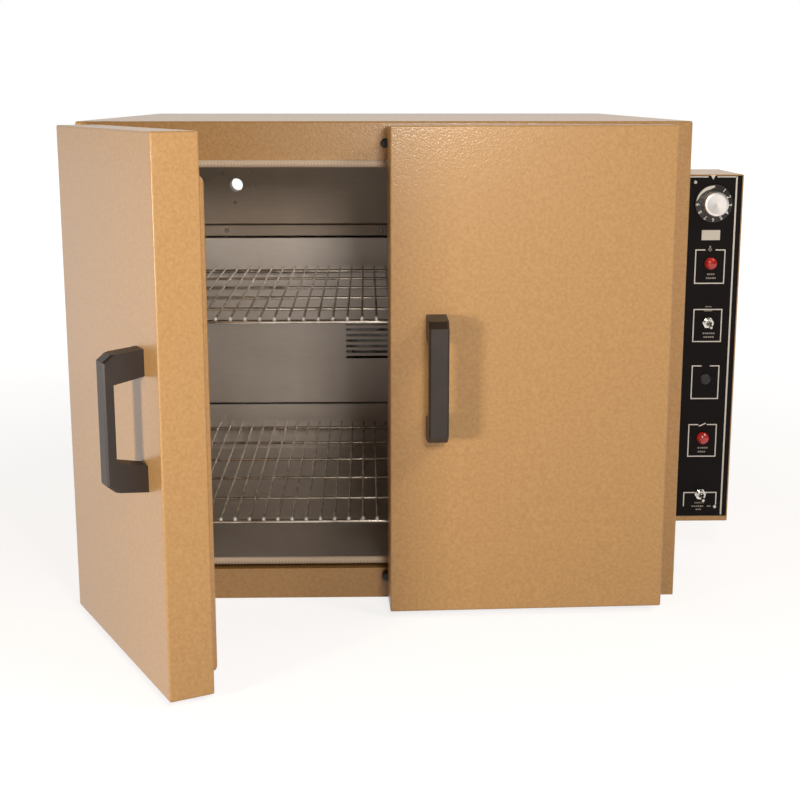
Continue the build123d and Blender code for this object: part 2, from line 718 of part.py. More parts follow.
def thermostat_bulb():
    """The sensing bulb and its capillary, which runs through the side to the thermostat."""
    x = CHAMBER_HALF_WIDTH - BULB_STANDOFF
    start = CAPILLARY_Y + 40
    points = [
        (x, start + 1, BULB_Z),
        (x, CAPILLARY_Y, BULB_Z),
        (CONTROL_X, CAPILLARY_Y, BULB_Z),
        (CONTROL_X, BOX_FRONT + SHEET + THERMO_DEPTH, BULB_Z),
    ]
    path = FilletPolyline(*points, radius=10)
    capillary = sweep(Plane(path @ 0, z_dir=path % 0) * Circle(CAPILLARY_RADIUS), path=path)
    return capillary + rod_y(x, start, start + BULB_LENGTH, BULB_Z, BULB_RADIUS)


def bulb_clips():
    """Two bent clips that hold the bulb off the chamber's right wall."""
    wall = CHAMBER_HALF_WIDTH
    x = wall - BULB_STANDOFF
    clips = []
    for y in (CAPILLARY_Y + 52, CAPILLARY_Y + 108):
        clip = block(x, wall, y, y + 8, BULB_Z - BULB_RADIUS - 1.2, BULB_Z - BULB_RADIUS)
        clip += block(x, wall, y, y + 8, BULB_Z + BULB_RADIUS, BULB_Z + BULB_RADIUS + 1.2)
        clip += block(wall - 1.2, wall, y, y + 8, BULB_Z - BULB_RADIUS - 14, BULB_Z + BULB_RADIUS + 1.2)
        clip += tube_y(x, y, y + 8, BULB_Z, BULB_RADIUS + 1.2, BULB_RADIUS)
        clips.append(clip)
    return group(clips)


# Doors, drawn closed on the left side


def door_outer_pan():
    """The door's outer pan, with flanges folded in at the back round the plug."""
    x0 = -HINGE_EDGE
    x1 = x0 + DOOR_WIDTH
    pan = block(x0, x1, DOOR_FRONT, DOOR_BACK, DOOR_BOTTOM, DOOR_TOP)
    pan = fillet(pan.edges(), DOOR_BEND)
    pan -= block(
        x0 + SHEET, x1 - SHEET, DOOR_FRONT + SHEET, DOOR_BACK - SHEET, DOOR_BOTTOM + SHEET, DOOR_TOP - SHEET
    )
    window = plug_block(FIT_GAP, DOOR_BACK - SHEET - 1, DOOR_BACK + 1)
    pan -= window
    for z in handle_screw_places():
        pan -= rod_y(handle_x(), DOOR_FRONT - 1, DOOR_FRONT + SHEET + 1, z, HANDLE_SCREW_RADIUS)
    return pan


def plug_block(margin, y0, y1):
    """A block of the plug's outline, larger by a margin, with rounded corners."""
    x0 = -HINGE_EDGE + PLUG_HINGE_INSET - margin
    x1 = -HINGE_EDGE + DOOR_WIDTH - PLUG_FREE_INSET + margin
    plug = block(x0, x1, y0, y1, PLUG_BOTTOM - margin, PLUG_TOP + margin)
    return fillet(plug.edges().filter_by(Axis.Y), PLUG_CORNER + margin)


def door_inner_pan():
    """The door's inner pan: a plug that stands proud, with a rim behind the flanges."""
    back = DOOR_BACK + PLUG_PROUD
    rim_y = DOOR_BACK - SHEET - LINER_SHEET
    plug = plug_block(0, rim_y, back)
    plug = fillet(plug.faces().sort_by(Axis.Y)[-1].edges(), 4)
    rim_low = max(PLUG_BOTTOM - DOOR_FLANGE, DOOR_BOTTOM + SHEET + FIT_GAP)
    rim = block(
        -HINGE_EDGE + PLUG_HINGE_INSET - DOOR_FLANGE,
        -HINGE_EDGE + DOOR_WIDTH - SHEET - FIT_GAP,
        rim_y,
        rim_y + LINER_SHEET,
        rim_low,
        PLUG_TOP + DOOR_FLANGE,
    )
    hollow = plug_block(-LINER_SHEET, rim_y - 1, back - LINER_SHEET)
    return plug + rim - hollow


def door_insulation():
    """The mineral wool block between the two pans."""
    gap = FIT_GAP
    core = block(
        -HINGE_EDGE + SHEET + gap,
        -HINGE_EDGE + DOOR_WIDTH - SHEET - gap,
        DOOR_FRONT + SHEET,
        DOOR_BACK - SHEET - LINER_SHEET,
        DOOR_BOTTOM + SHEET + gap,
        DOOR_TOP - SHEET - gap,
    )
    for z in handle_screw_places():
        core -= rod_y(handle_x(), DOOR_FRONT, DOOR_FRONT + SHEET + 6, z, 7)
    return core


def handle_x():
    """The middle of the handle, measured from the door's free edge."""
    return -HINGE_EDGE + DOOR_WIDTH - HANDLE_EDGE - HANDLE_WIDTH / 2


def handle_screw_places():
    """Heights of the two screws in the handle's legs."""
    reach = HANDLE_BASE / 2 - HANDLE_LEG / 2
    return [HANDLE_Z - reach, HANDLE_Z + reach]


def door_handle():
    """The moulded bridge handle, with tapered legs and chamfered edges."""
    half = HANDLE_BASE / 2
    window = half - HANDLE_LEG
    reach = DOOR_FRONT - HANDLE_DEPTH
    inner = reach + HANDLE_GRIP
    outline = [
        (DOOR_FRONT, half),
        (reach + 10, half - 4),
        (reach, half - 12),
        (reach, -half + 12),
        (reach + 10, -half + 4),
        (DOOR_FRONT, -half),
        (DOOR_FRONT, -window),
        (inner, -window + 7),
        (inner, window - 7),
        (DOOR_FRONT, window),
    ]
    x = handle_x()
    grip = section_x([(y, z + HANDLE_Z) for y, z in outline], x - HANDLE_WIDTH / 2, x + HANDLE_WIDTH / 2)
    long_edges = [e for e in grip.edges() if abs(e.center().Y - reach) < 0.1 and e.length > 50]
    tapers = [e for e in grip.edges() if reach < e.center().Y < reach + 9 and e.length < 15]
    grip = chamfer(long_edges + tapers, HANDLE_CHAMFER)
    for z in handle_screw_places():
        grip -= rod_y(x, DOOR_FRONT - 22, DOOR_FRONT + 1, z, HANDLE_SCREW_RADIUS)
    return grip


def handle_screws():
    """The two screws that hold the handle from inside the door."""
    x = handle_x()
    screws = []
    for z in handle_screw_places():
        shank = rod_y(x, DOOR_FRONT - 20, DOOR_FRONT + SHEET, z, HANDLE_SCREW_RADIUS)
        head = rod_y(x, DOOR_FRONT + SHEET, DOOR_FRONT + SHEET + 3, z, 4.6)
        screws.append(shank + head)
    return group(screws)


# Hinges, drawn on the left side


def knuckle_spans():
    """The height of each knuckle of a hinge, from the bottom up."""
    low = DOOR_BOTTOM + HINGE_END
    step = (DOOR_TOP - HINGE_END - low) / KNUCKLES
    spans = []
    for i in range(KNUCKLES):
        spans.append((low + step * i + KNUCKLE_GAP / 2, low + step * (i + 1) - KNUCKLE_GAP / 2))
    return spans


def hinge_rail():
    """The frame's half of the hinge: a folded rail, a leaf and every other knuckle."""
    low = DOOR_BOTTOM + HINGE_END
    high = DOOR_TOP - HINGE_END
    x0 = -PIVOT_X + KNUCKLE_RADIUS + KNUCKLE_CLEARANCE
    x1 = x0 + RAIL_WIDTH
    leaf_y = DOOR_BACK + FIT_GAP
    rail = block(x0, x1, leaf_y, 0, low, high)
    rail -= block(x0 + SHEET, x1 - SHEET, leaf_y + LEAF, 1, low - 1, high + 1)
    for z0, z1 in knuckle_spans()[::2]:
        knuckle = rod_z(-PIVOT_X, PIVOT_Y, z0, z1, KNUCKLE_RADIUS)
        tongue = block(-PIVOT_X, x0 + 0.5, leaf_y, leaf_y + LEAF, z0, z1)
        rail += knuckle + tongue
        rail -= rod_z(-PIVOT_X, PIVOT_Y, z0 - 1, z1 + 1, PIN_RADIUS)
    return rail


def hinge_door_leaf():
    """The door's half of the hinge, on the door's edge, with the other knuckles."""
    low = DOOR_BOTTOM + HINGE_END
    high = DOOR_TOP - HINGE_END
    x1 = -HINGE_EDGE
    y1 = PIVOT_Y - KNUCKLE_RADIUS - KNUCKLE_CLEARANCE
    leaf = block(x1 - LEAF, x1, PIVOT_Y - LEAF_WIDTH - KNUCKLE_RADIUS, y1, low, high)
    for z0, z1 in knuckle_spans()[1::2]:
        knuckle = rod_z(-PIVOT_X, PIVOT_Y, z0, z1, KNUCKLE_RADIUS)
        tongue = block(x1 - LEAF, x1, y1 - 0.5, PIVOT_Y, z0, z1)
        leaf += knuckle + tongue
        leaf -= rod_z(-PIVOT_X, PIVOT_Y, z0 - 1, z1 + 1, PIN_RADIUS + PIN_RUNNING_GAP)
    return leaf


def hinge_pin():
    """The long pin of the hinge, fast in the frame's knuckles."""
    low = DOOR_BOTTOM + HINGE_END
    high = DOOR_TOP - HINGE_END
    return rod_z(-PIVOT_X, PIVOT_Y, low, high, PIN_RADIUS)


def swing_left(shape):
    """Turn a closed left-hand piece to the pose of the photograph."""
    return Pos(-PIVOT_X, PIVOT_Y, 0) * Rot(0, 0, -LEFT_OPEN) * Pos(PIVOT_X, -PIVOT_Y, 0) * shape


def swing_right(shape):
    """Turn a closed right-hand piece to the pose of the photograph."""
    return Pos(PIVOT_X, PIVOT_Y, 0) * Rot(0, 0, RIGHT_OPEN) * Pos(-PIVOT_X, -PIVOT_Y, 0) * shape


def magnet(z):
    """A round door magnet in its cup, on the front frame between the doors."""
    face = DOOR_BACK + MAGNET_GAP
    radius = MAGNET_RADIUS
    profile = [
        (0, face),
        (radius - 1.5, face),
        (radius - 0.4, face + 0.4),
        (radius, face + 1.5),
        (radius, 0),
        (0, 0),
    ]
    return turned_y(profile, 0, z)


# Control box


def control_cutters():
    """Holes for the controls, from the overlay through the box's front."""
    y0 = BOX_FRONT - 4
    y1 = BOX_FRONT + SHEET + 4
    cutters = [rod_y(CONTROL_X, y0, y1, DIAL_Z, SHAFT_COLLAR)]
    for z in (LAMP_HIGH_Z, LAMP_LOW_Z):
        cutters.append(rod_y(CONTROL_X, y0, y1, z, LAMP_BODY_RADIUS))
    for z in (SWITCH_HIGH_Z, SWITCH_LOW_Z):
        cutters.append(rod_y(CONTROL_X, y0, y1, z, SWITCH_BUSH_RADIUS))
    cutters.append(rod_y(CONTROL_X, y0, y1, BLANK_Z, BLANK_RADIUS - 1.2))
    for x, z in PANEL_SCREWS:
        cutters.append(rod_y(x, y0, y1, z, PANEL_SCREW))
    return cutters


def control_box():
    """The folded box of the controls, open against the cabinet's side."""
    box = block(BOX_LEFT, BOX_RIGHT, BOX_FRONT, BOX_BACK, BOX_BOTTOM, BOX_TOP)
    bends = box.faces().sort_by(Axis.X)[-1].edges()
    bends += box.edges().filter_by(Axis.X)
    box = fillet(bends, BOX_BEND)
    box -= block(
        BOX_LEFT - 1,
        BOX_RIGHT - SHEET,
        BOX_FRONT + SHEET,
        BOX_BACK - SHEET,
        BOX_BOTTOM + SHEET,
        BOX_TOP - SHEET,
    )
    for cutter in control_cutters():
        box -= cutter
    return box - rod_z(CONTROL_X, BOX_BACK - 40, BOX_BOTTOM - 5, BOX_BOTTOM + 5, GLAND_RADIUS)


def control_overlay():
    """The black panel plate on the front of the box."""
    plate = block(
        BOX_LEFT + 1.0,
        BOX_RIGHT - OVERLAY_SIDE,
        PANEL_FACE,
        BOX_FRONT,
        BOX_BOTTOM + OVERLAY_LOW,
        BOX_TOP - 1.5,
    )
    for cutter in control_cutters():
        plate -= cutter
    return plate


def panel_screws():
    """The two small screws that hold the panel plate."""
    shank = OVERLAY + SHEET + 3
    return group([screw_front(x, PANEL_FACE, z, shank, PANEL_SCREW, 3.0) for x, z in PANEL_SCREWS])


def thermostat_body():
    """The hydraulic thermostat behind the panel, with a bore for its shaft."""
    y0 = BOX_FRONT + SHEET
    body = block(CONTROL_X - 22, CONTROL_X + 22, y0, y0 + THERMO_DEPTH, DIAL_Z - 24, DIAL_Z + 24)
    body = chamfer(body.edges().filter_by(Axis.Y), 4)
    for z in (DIAL_Z - 16, DIAL_Z + 16):
        body += block(CONTROL_X - 5, CONTROL_X + 5, y0 + THERMO_DEPTH - 1, y0 + THERMO_DEPTH + 8, z - 0.6, z + 0.6)
    return body - rod_y(CONTROL_X, y0 - 1, y0 + 16, DIAL_Z, THERMO_SHAFT + SHAFT_RUNNING_GAP)


def thermostat_shaft():
    """The shaft that the dial turns."""
    back = BOX_FRONT + SHEET + 14
    front = PANEL_FACE - DIAL_STANDOFF - DIAL_SKIRT - KNOB_HEIGHT + 5
    return rod_y(CONTROL_X, front, back, DIAL_Z, THERMO_SHAFT)


def dial_skirt():
    """The thin skirt of the dial, which carries its numbers."""
    back = PANEL_FACE - DIAL_STANDOFF
    front = back - DIAL_SKIRT
    outer = DIAL_RADIUS
    profile = [
        (THERMO_SHAFT, back),
        (outer, back),
        (outer, front + 1.2),
        (outer - 0.8, front + 0.6),
        (KNOB_RADIUS + 0.5, front),
        (THERMO_SHAFT, front),
    ]
    return turned_y(profile, CONTROL_X, DIAL_Z)


def dial_knob():
    """The turned knob on the dial, with a spun face and a bore for the shaft."""
    back = PANEL_FACE - DIAL_STANDOFF - DIAL_SKIRT
    front = back - KNOB_HEIGHT
    outer = KNOB_RADIUS
    profile = [
        (0, front + 0.8),
        (outer - 3.5, front),
        (outer - 1.2, front + 0.3),
        (outer, front + 1.8),
        (outer, back),
        (THERMO_SHAFT, back),
        (THERMO_SHAFT, front + 5),
        (0, front + 5),
    ]
    return turned_y(profile, CONTROL_X, DIAL_Z)


def lamp_lens(z):
    """The domed red lens of an indicator lamp."""
    base = PANEL_FACE
    front = base - LAMP_PROUD
    outer = LAMP_RADIUS
    profile = [(0, front)]
    steps = 5
    for i in range(1, steps + 1):
        angle = math.radians(90 * i / steps)
        profile.append((outer * math.sin(angle), front + (LAMP_PROUD - 2) * (1 - math.cos(angle))))
    profile += [(outer, base), (0, base)]
    return turned_y(profile, CONTROL_X, z)


def lamp_body(z):
    """The lamp's body behind the panel, with its lens collar and two tabs."""
    y0 = PANEL_FACE
    y1 = BOX_FRONT + SHEET + 26
    body = rod_y(CONTROL_X, y0, y1, z, LAMP_BODY_RADIUS)
    nut = rod_y(CONTROL_X, BOX_FRONT + SHEET, BOX_FRONT + SHEET + 4, z, 9)
    tab = block(CONTROL_X - 3, CONTROL_X + 3, y1, y1 + 8, z - 0.5, z + 0.5)
    return body + nut + tab


def switch_body(z):
    """A toggle switch: its case behind the panel and its bushing through it."""
    y0 = BOX_FRONT + SHEET
    front = PANEL_FACE - SWITCH_PROUD
    case = block(CONTROL_X - 9, CONTROL_X + 9, y0, y0 + 24, z - 15, z + 15)
    case += block(CONTROL_X - 3, CONTROL_X + 3, y0 + 24, y0 + 32, z - 8, z - 7)
    case += block(CONTROL_X - 3, CONTROL_X + 3, y0 + 24, y0 + 32, z + 7, z + 8)
    case += rod_y(CONTROL_X, front, y0, z, SWITCH_BUSH_RADIUS)
    return case - rod_y(CONTROL_X, front - 1, y0 + 6, z, SWITCH_BORE)


def switch_nut(z):
    """The hexagon nut of a toggle switch, on the panel's face."""
    plane = Plane((CONTROL_X, PANEL_FACE - NUT_THICKNESS, z), x_dir=(1, 0, 0), z_dir=(0, 1, 0))
    hexagon = RegularPolygon(NUT_FLATS / 2, 6, major_radius=False)
    nut = extrude(plane * hexagon, amount=NUT_THICKNESS)
    return nut - rod_y(CONTROL_X, PANEL_FACE - 5, PANEL_FACE + 1, z, SWITCH_BUSH_RADIUS)


def switch_pivot_y():
    """Where a toggle lever turns, inside its bushing."""
    return PANEL_FACE - SWITCH_PROUD + 3.5


def switch_lever(z):
    """A toggle lever with its ball pivot and bat end, tipped down as in the photograph."""
    y = switch_pivot_y()
    tip = y - LEVER_LENGTH
    profile = [
        (0, y + LEVER_TAIL),
        (1.5, y + LEVER_TAIL),
        (1.5, y + 3),
        (SWITCH_BALL, y + 0.8),
        (SWITCH_BALL, y - 0.8),
        (1.9, y - 3),
        (2.6, tip + 2),
        (1.8, tip + 0.5),
        (0, tip),
    ]
    lever = turned_y(profile, CONTROL_X, z)
    return Pos(0, y, z) * Rot(LEVER_REST, 0, 0) * Pos(0, -y, -z) * lever


def blank_plug():
    """The snap-in plug in the spare hole, with its collar behind the panel."""
    face = PANEL_FACE
    back = BOX_FRONT + SHEET
    profile = [
        (0, face - 2.2),
        (BLANK_RADIUS - 2.4, face - 2.0),
        (BLANK_RADIUS, face - 0.8),
        (BLANK_RADIUS, face),
        (BLANK_RADIUS - 1.2, face),
        (BLANK_RADIUS - 1.2, back + 4),
        (BLANK_RADIUS - 2.6, back + 4),
        (BLANK_RADIUS - 2.6, face + 1),
        (0, face + 1),
    ]
    return turned_y(profile, CONTROL_X, BLANK_Z)


def terminal_block():
    """The supply terminal block on the cabinet's side, above the cable gland."""
    x0 = BOX_LEFT
    strip = block(x0, x0 + 20, 100, 176, 150, 176)
    for i in range(4):
        y = 106 + i * 17
        strip -= block(x0 + 10, x0 + 21, y, y + 13, 149, 158)
        strip -= block(x0 + 10, x0 + 21, y, y + 13, 168, 177)
    return strip


def cable_gland():
    """The supply gland in the bottom of the control box, with nothing in it."""
    x = CONTROL_X
    y = BOX_BACK - 40
    z = BOX_BOTTOM
    barrel = rod_z(x, y, z - 20, z + 12, GLAND_RADIUS)
    nut_outside = Pos(x, y, z - 8) * extrude(RegularPolygon(11, 6, major_radius=False), amount=8)
    nut_inside = Pos(x, y, z + SHEET) * extrude(RegularPolygon(11, 6, major_radius=False), amount=4)
    cap = Pos(x, y, z - 20) * extrude(RegularPolygon(10, 6, major_radius=False), amount=9)
    return barrel + nut_outside + nut_inside + cap - rod_z(x, y, z - 30, z + 20, 4.5)


def wiring_nipple():
    """The conduit nipple between the cabinet and the control box."""
    wall_in = CABINET_WIDTH / 2 - SHEET
    barrel = rod_x(wall_in - 4, BOX_LEFT + 12, NIPPLE_Y, NIPPLE_Z, NIPPLE_RADIUS)
    collar = rod_x(BOX_LEFT, BOX_LEFT + 4, NIPPLE_Y, NIPPLE_Z, NIPPLE_RADIUS + 4)
    return barrel + collar - rod_x(wall_in - 9, BOX_LEFT + 19, NIPPLE_Y, NIPPLE_Z, NIPPLE_RADIUS - 2)


def main():
    """Build every node and write it."""
    os.makedirs("parts", exist_ok=True)
    save(outer_casing(), "outer_casing")
    save(base_pan(), "base_pan")
    save(rear_cover(), "rear_cover")
    save(rear_screws(), "rear_screws")
    save(chamber_liner(), "chamber_liner")
    save(insulation_slabs(), "insulation_slabs")
    save(door_seal(), "door_seal")
    save(rear_wall_panel(), "rear_wall_panel")
    save(lower_wall_panel(), "lower_wall_panel")
    save(upper_duct_panel(), "upper_duct_panel")
    save(vent_bush(), "vent_bush")
    save(vent_sleeve(), "vent_sleeve")
    save(chamber_screws(), "chamber_screws")
    rack = left_shelf_rack()
    save(rack, "left_shelf_rack")
    save(mirror_x(rack), "right_shelf_rack")
    save(shelf(UPPER_SHELF_Z), "upper_shelf")
    save(shelf(LOWER_SHELF_Z), "lower_shelf")
    save(heater_element(), "heater_element")
    save(heater_bushings(), "heater_bushings")
    save(blower_wheel(), "blower_wheel")
    save(motor_shaft(), "motor_shaft")
    save(shaft_seal(), "shaft_seal")
    save(motor_plate(), "motor_plate")
    save(motor(), "motor")
    save(motor_cover(), "motor_cover")
    save(thermostat_bulb(), "thermostat_bulb")
    save(bulb_clips(), "bulb_clips")
    door_pieces = {
        "door_outer_pan": door_outer_pan(),
        "door_inner_pan": door_inner_pan(),
        "door_insulation": door_insulation(),
        "door_handle": door_handle(),
        "handle_screws": handle_screws(),
        "hinge_door_leaf": hinge_door_leaf(),
    }
    for name, piece in door_pieces.items():
        save(swing_left(piece), "left_" + name)
        save(swing_right(mirror_x(piece)), "right_" + name)
    rail = hinge_rail()
    save(rail, "left_hinge_rail")
    save(mirror_x(rail), "right_hinge_rail")
    save(group([hinge_pin(), mirror_x(hinge_pin())]), "hinge_pins")
    save(group([magnet(MAGNET_TOP), magnet(MAGNET_BOTTOM)]), "door_magnets")
    save(control_box(), "control_box")
    save(control_overlay(), "control_panel_plate")
    save(panel_screws(), "panel_screws")
    save(thermostat_body(), "thermostat_body")
    save(thermostat_shaft(), "thermostat_shaft")
    save(dial_skirt(), "dial_skirt")
    save(dial_knob(), "dial_knob")
    save(group([lamp_lens(LAMP_HIGH_Z), lamp_lens(LAMP_LOW_Z)]), "lamp_lenses")
    save(group([lamp_body(LAMP_HIGH_Z), lamp_body(LAMP_LOW_Z)]), "lamp_bodies")
    save(group([switch_body(SWITCH_HIGH_Z), switch_body(SWITCH_LOW_Z)]), "switch_bodies")
    save(group([switch_nut(SWITCH_HIGH_Z), switch_nut(SWITCH_LOW_Z)]), "switch_nuts")
    save(switch_lever(SWITCH_HIGH_Z), "upper_switch_lever")
    save(switch_lever(SWITCH_LOW_Z), "lower_switch_lever")
    save(blank_plug(), "blank_plug")
    save(terminal_block(), "terminal_block")
    save(cable_gland(), "cable_gland")
    save(wiring_nipple(), "wiring_nipple")


main()
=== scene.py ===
import logging
import math
from dataclasses import dataclass, field
from enum import Enum

import bpy
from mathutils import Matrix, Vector


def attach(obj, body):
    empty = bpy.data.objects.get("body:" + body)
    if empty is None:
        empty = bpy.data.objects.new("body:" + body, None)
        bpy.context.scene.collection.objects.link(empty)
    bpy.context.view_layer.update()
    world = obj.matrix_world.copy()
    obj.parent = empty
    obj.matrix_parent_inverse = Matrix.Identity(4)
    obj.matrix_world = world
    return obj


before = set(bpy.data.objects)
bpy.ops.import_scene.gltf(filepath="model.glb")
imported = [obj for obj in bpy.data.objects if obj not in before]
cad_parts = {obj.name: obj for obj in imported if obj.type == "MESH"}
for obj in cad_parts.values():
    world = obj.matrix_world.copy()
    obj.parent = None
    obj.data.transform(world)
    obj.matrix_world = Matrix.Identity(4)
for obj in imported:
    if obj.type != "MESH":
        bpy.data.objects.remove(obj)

LOG = logging.getLogger("oven")
MM = 0.001
HALF_DEPTH = 0.3875
WAVE_TURN = 6.28


def linear(colour: str) -> tuple[float, float, float, float]:
    """Turn an sRGB hex colour into linear RGBA.

    Args:
        colour: six hex digits after a hash.

    Returns:
        Four linear numbers, with alpha 1.
    """
    parts = [int(colour[i : i + 2], 16) / 255 for i in (1, 3, 5)]
    rgb = [c / 12.92 if c <= 0.04045 else ((c + 0.055) / 1.055) ** 2.4 for c in parts]
    return (rgb[0], rgb[1], rgb[2], 1.0)


def place(x: float, y: float, z: float) -> Vector:
    """Turn bench millimetres, with Y from the cabinet's front, into the row frame in metres."""
    return Vector((x * MM, y * MM - HALF_DEPTH, z * MM))


def add_node(
    tree: bpy.types.NodeTree,
    kind: str,
    settings: dict[str | int, object] | None = None,
    links: dict[str | int, bpy.types.NodeSocket] | None = None,
) -> bpy.types.Node:
    """Add one node with its settings and its incoming links.

    Args:
        tree: the node tree of a material or the world.
        kind: the node's type name.
        settings: socket or property names, or socket numbers, with their values.
        links: socket names or numbers, with the outputs that feed them.

    Returns:
        The new node.
    """
    node = tree.nodes.new(kind)
    for key, value in (settings or {}).items():
        if isinstance(key, int) or key in node.inputs:
            node.inputs[key].default_value = value
        else:
            setattr(node, key, value)
    for key, source in (links or {}).items():
        tree.links.new(source, node.inputs[key])
    return node


class Grain(Enum):
    """Which way the marks of a rolled or brushed sheet run."""

    ALONG_X = (0.04, 1.0, 1.0)
    ALONG_Y = (1.0, 0.04, 1.0)
    ALONG_Z = (1.0, 1.0, 0.04)


@dataclass(frozen=True)
class Finish:
    """What every finish shares: a name, a colour, a gloss and how metallic it is."""

    name: str
    colour: str
    roughness: float
    metallic: float = 0.0

    def start(self) -> tuple[bpy.types.Material, bpy.types.NodeTree, bpy.types.Node, bpy.types.NodeSocket]:
        """Make the material with its shader.

        Returns:
            The material, its tree, the shader node and the Object coordinates.
        """
        material = bpy.data.materials.new(self.name)
        material.use_nodes = True
        tree = material.node_tree
        tree.nodes.clear()
        output = add_node(tree, "ShaderNodeOutputMaterial")
        shader = add_node(
            tree,
            "ShaderNodeBsdfPrincipled",
            {"Base Color": linear(self.colour), "Roughness": self.roughness, "Metallic": self.metallic},
        )
        tree.links.new(shader.outputs[0], output.inputs[0])
        coordinates = add_node(tree, "ShaderNodeTexCoord")
        return material, tree, shader, coordinates.outputs["Object"]

    def build(self) -> bpy.types.Material:
        """Make the material. Each kind of finish adds its own pattern."""
        return self.start()[0]

    def tint(
        self,
        tree: bpy.types.NodeTree,
        shader: bpy.types.Node,
        factor: bpy.types.NodeSocket,
        colours: tuple[str, str],
        span: tuple[float, float] = (0.35, 0.65),
    ) -> None:
        """Colour the shader between two colours by a pattern.

        Args:
            tree: the material's node tree.
            shader: its shader node.
            factor: the pattern's output.
            colours: the colours at the pattern's low and high ends.
            span: where on the pattern those two stand.
        """
        ramp = add_node(tree, "ShaderNodeValToRGB", links={"Fac": factor})
        ramp.color_ramp.elements[0].position = span[0]
        ramp.color_ramp.elements[1].position = span[1]
        ramp.color_ramp.elements[0].color = linear(colours[0])
        ramp.color_ramp.elements[1].color = linear(colours[1])
        tree.links.new(ramp.outputs["Color"], shader.inputs["Base Color"])

    def rough(
        self,
        tree: bpy.types.NodeTree,
        shader: bpy.types.Node,
        factor: bpy.types.NodeSocket,
        low: float,
        high: float,
    ) -> None:
        """Spread the shader's roughness between two values by a pattern."""
        span = add_node(tree, "ShaderNodeMapRange", {"To Min": low, "To Max": high}, {"Value": factor})
        tree.links.new(span.outputs["Result"], shader.inputs["Roughness"])


@dataclass(frozen=True)
class HammeredEnamel(Finish):
    """Stoved hammertone enamel on sheet steel: small glossy dimples that catch the light."""

    light: str = "#CD9E62"
    dark: str = "#C39257"
    dimple: float = 2.8
    depth: float = 0.55
    gloss: float = 0.5

    def build(self) -> bpy.types.Material:
        """Make the enamel, with dimples twice as coarse as the real 1.4 mm so that they show.

        Returns:
            The material.
        """
        material, tree, shader, at = self.start()
        shader.inputs["Coat Weight"].default_value = self.gloss
        shader.inputs["Coat Roughness"].default_value = 0.2
        cells = add_node(
            tree,
            "ShaderNodeTexVoronoi",
            {"feature": "SMOOTH_F1", "Scale": 1 / (self.dimple * MM), "Smoothness": 0.7, "Randomness": 1.0},
            {"Vector": at},
        )
        wander = add_node(
            tree, "ShaderNodeTexNoise", {"Scale": 1 / (1.5 * self.dimple * MM), "Detail": 3.0}, {"Vector": at}
        )
        height = add_node(
            tree,
            "ShaderNodeMath",
            {"operation": "MULTIPLY_ADD", 1: 0.4},
            {0: wander.outputs[0], 2: cells.outputs["Distance"]},
        )
        self.tint(tree, shader, wander.outputs[0], (self.dark, self.light), (0.35, 0.65))
        self.rough(tree, shader, wander.outputs[0], self.roughness - 0.04, self.roughness + 0.06)
        bump = add_node(
            tree, "ShaderNodeBump", {"Strength": self.depth, "Distance": 0.0003}, {"Height": height.outputs[0]}
        )
        tree.links.new(bump.outputs[0], shader.inputs["Normal"])
        tree.links.new(bump.outputs[0], shader.inputs["Coat Normal"])
        return material


@dataclass(frozen=True)
class RolledSheet(Finish):
    """Mill-rolled or brushed sheet metal: fine lines one way and a cloudy tarnish."""

    light: str = "#B8AEA2"
    dark: str = "#8F8478"
    grain: Grain = Grain.ALONG_X
    line: float = 1.6
    depth: float = 0.12

    def build(self) -> bpy.types.Material:
        """Make the sheet, with rolling lines drawn coarser than they are so that they show.

        Returns:
            The material.
        """
        material, tree, shader, at = self.start()
        stretch = add_node(tree, "ShaderNodeMapping", {"Scale": self.grain.value}, {"Vector": at})
        lines = add_node(
            tree, "ShaderNodeTexNoise", {"Scale": 1 / (self.line * MM), "Detail": 3.0}, {"Vector": stretch.outputs[0]}
        )
        cloud = add_node(tree, "ShaderNodeTexNoise", {"Scale": 6.0, "Detail": 4.0}, {"Vector": at})
        blend = add_node(
            tree, "ShaderNodeMath", {"operation": "MULTIPLY_ADD", 1: 0.35}, {0: lines.outputs[0], 2: cloud.outputs[0]}
        )
        self.tint(tree, shader, blend.outputs[0], (self.dark, self.light), (0.4, 0.95))
        self.rough(tree, shader, blend.outputs[0], self.roughness - 0.1, self.roughness + 0.1)
        bump = add_node(
            tree, "ShaderNodeBump", {"Strength": self.depth, "Distance": 0.0002}, {"Height": lines.outputs[0]}
        )
        tree.links.new(bump.outputs[0], shader.inputs["Normal"])
        return material


@dataclass(frozen=True)
class Plating(Finish):
    """Bright nickel plate on drawn wire, screws and levers, slightly dulled in patches."""

    dull: str = "#8C857B"

    def build(self) -> bpy.types.Material:
        """Make the plating, with a dull cloud every few centimetres.

        Returns:
            The material.
        """
        material, tree, shader, at = self.start()
        cloud = add_node(tree, "ShaderNodeTexNoise", {"Scale": 35.0, "Detail": 3.0}, {"Vector": at})
        self.tint(tree, shader, cloud.outputs[0], (self.dull, self.colour), (0.3, 0.6))
        self.rough(tree, shader, cloud.outputs[0], self.roughness + 0.12, self.roughness - 0.04)
        return material


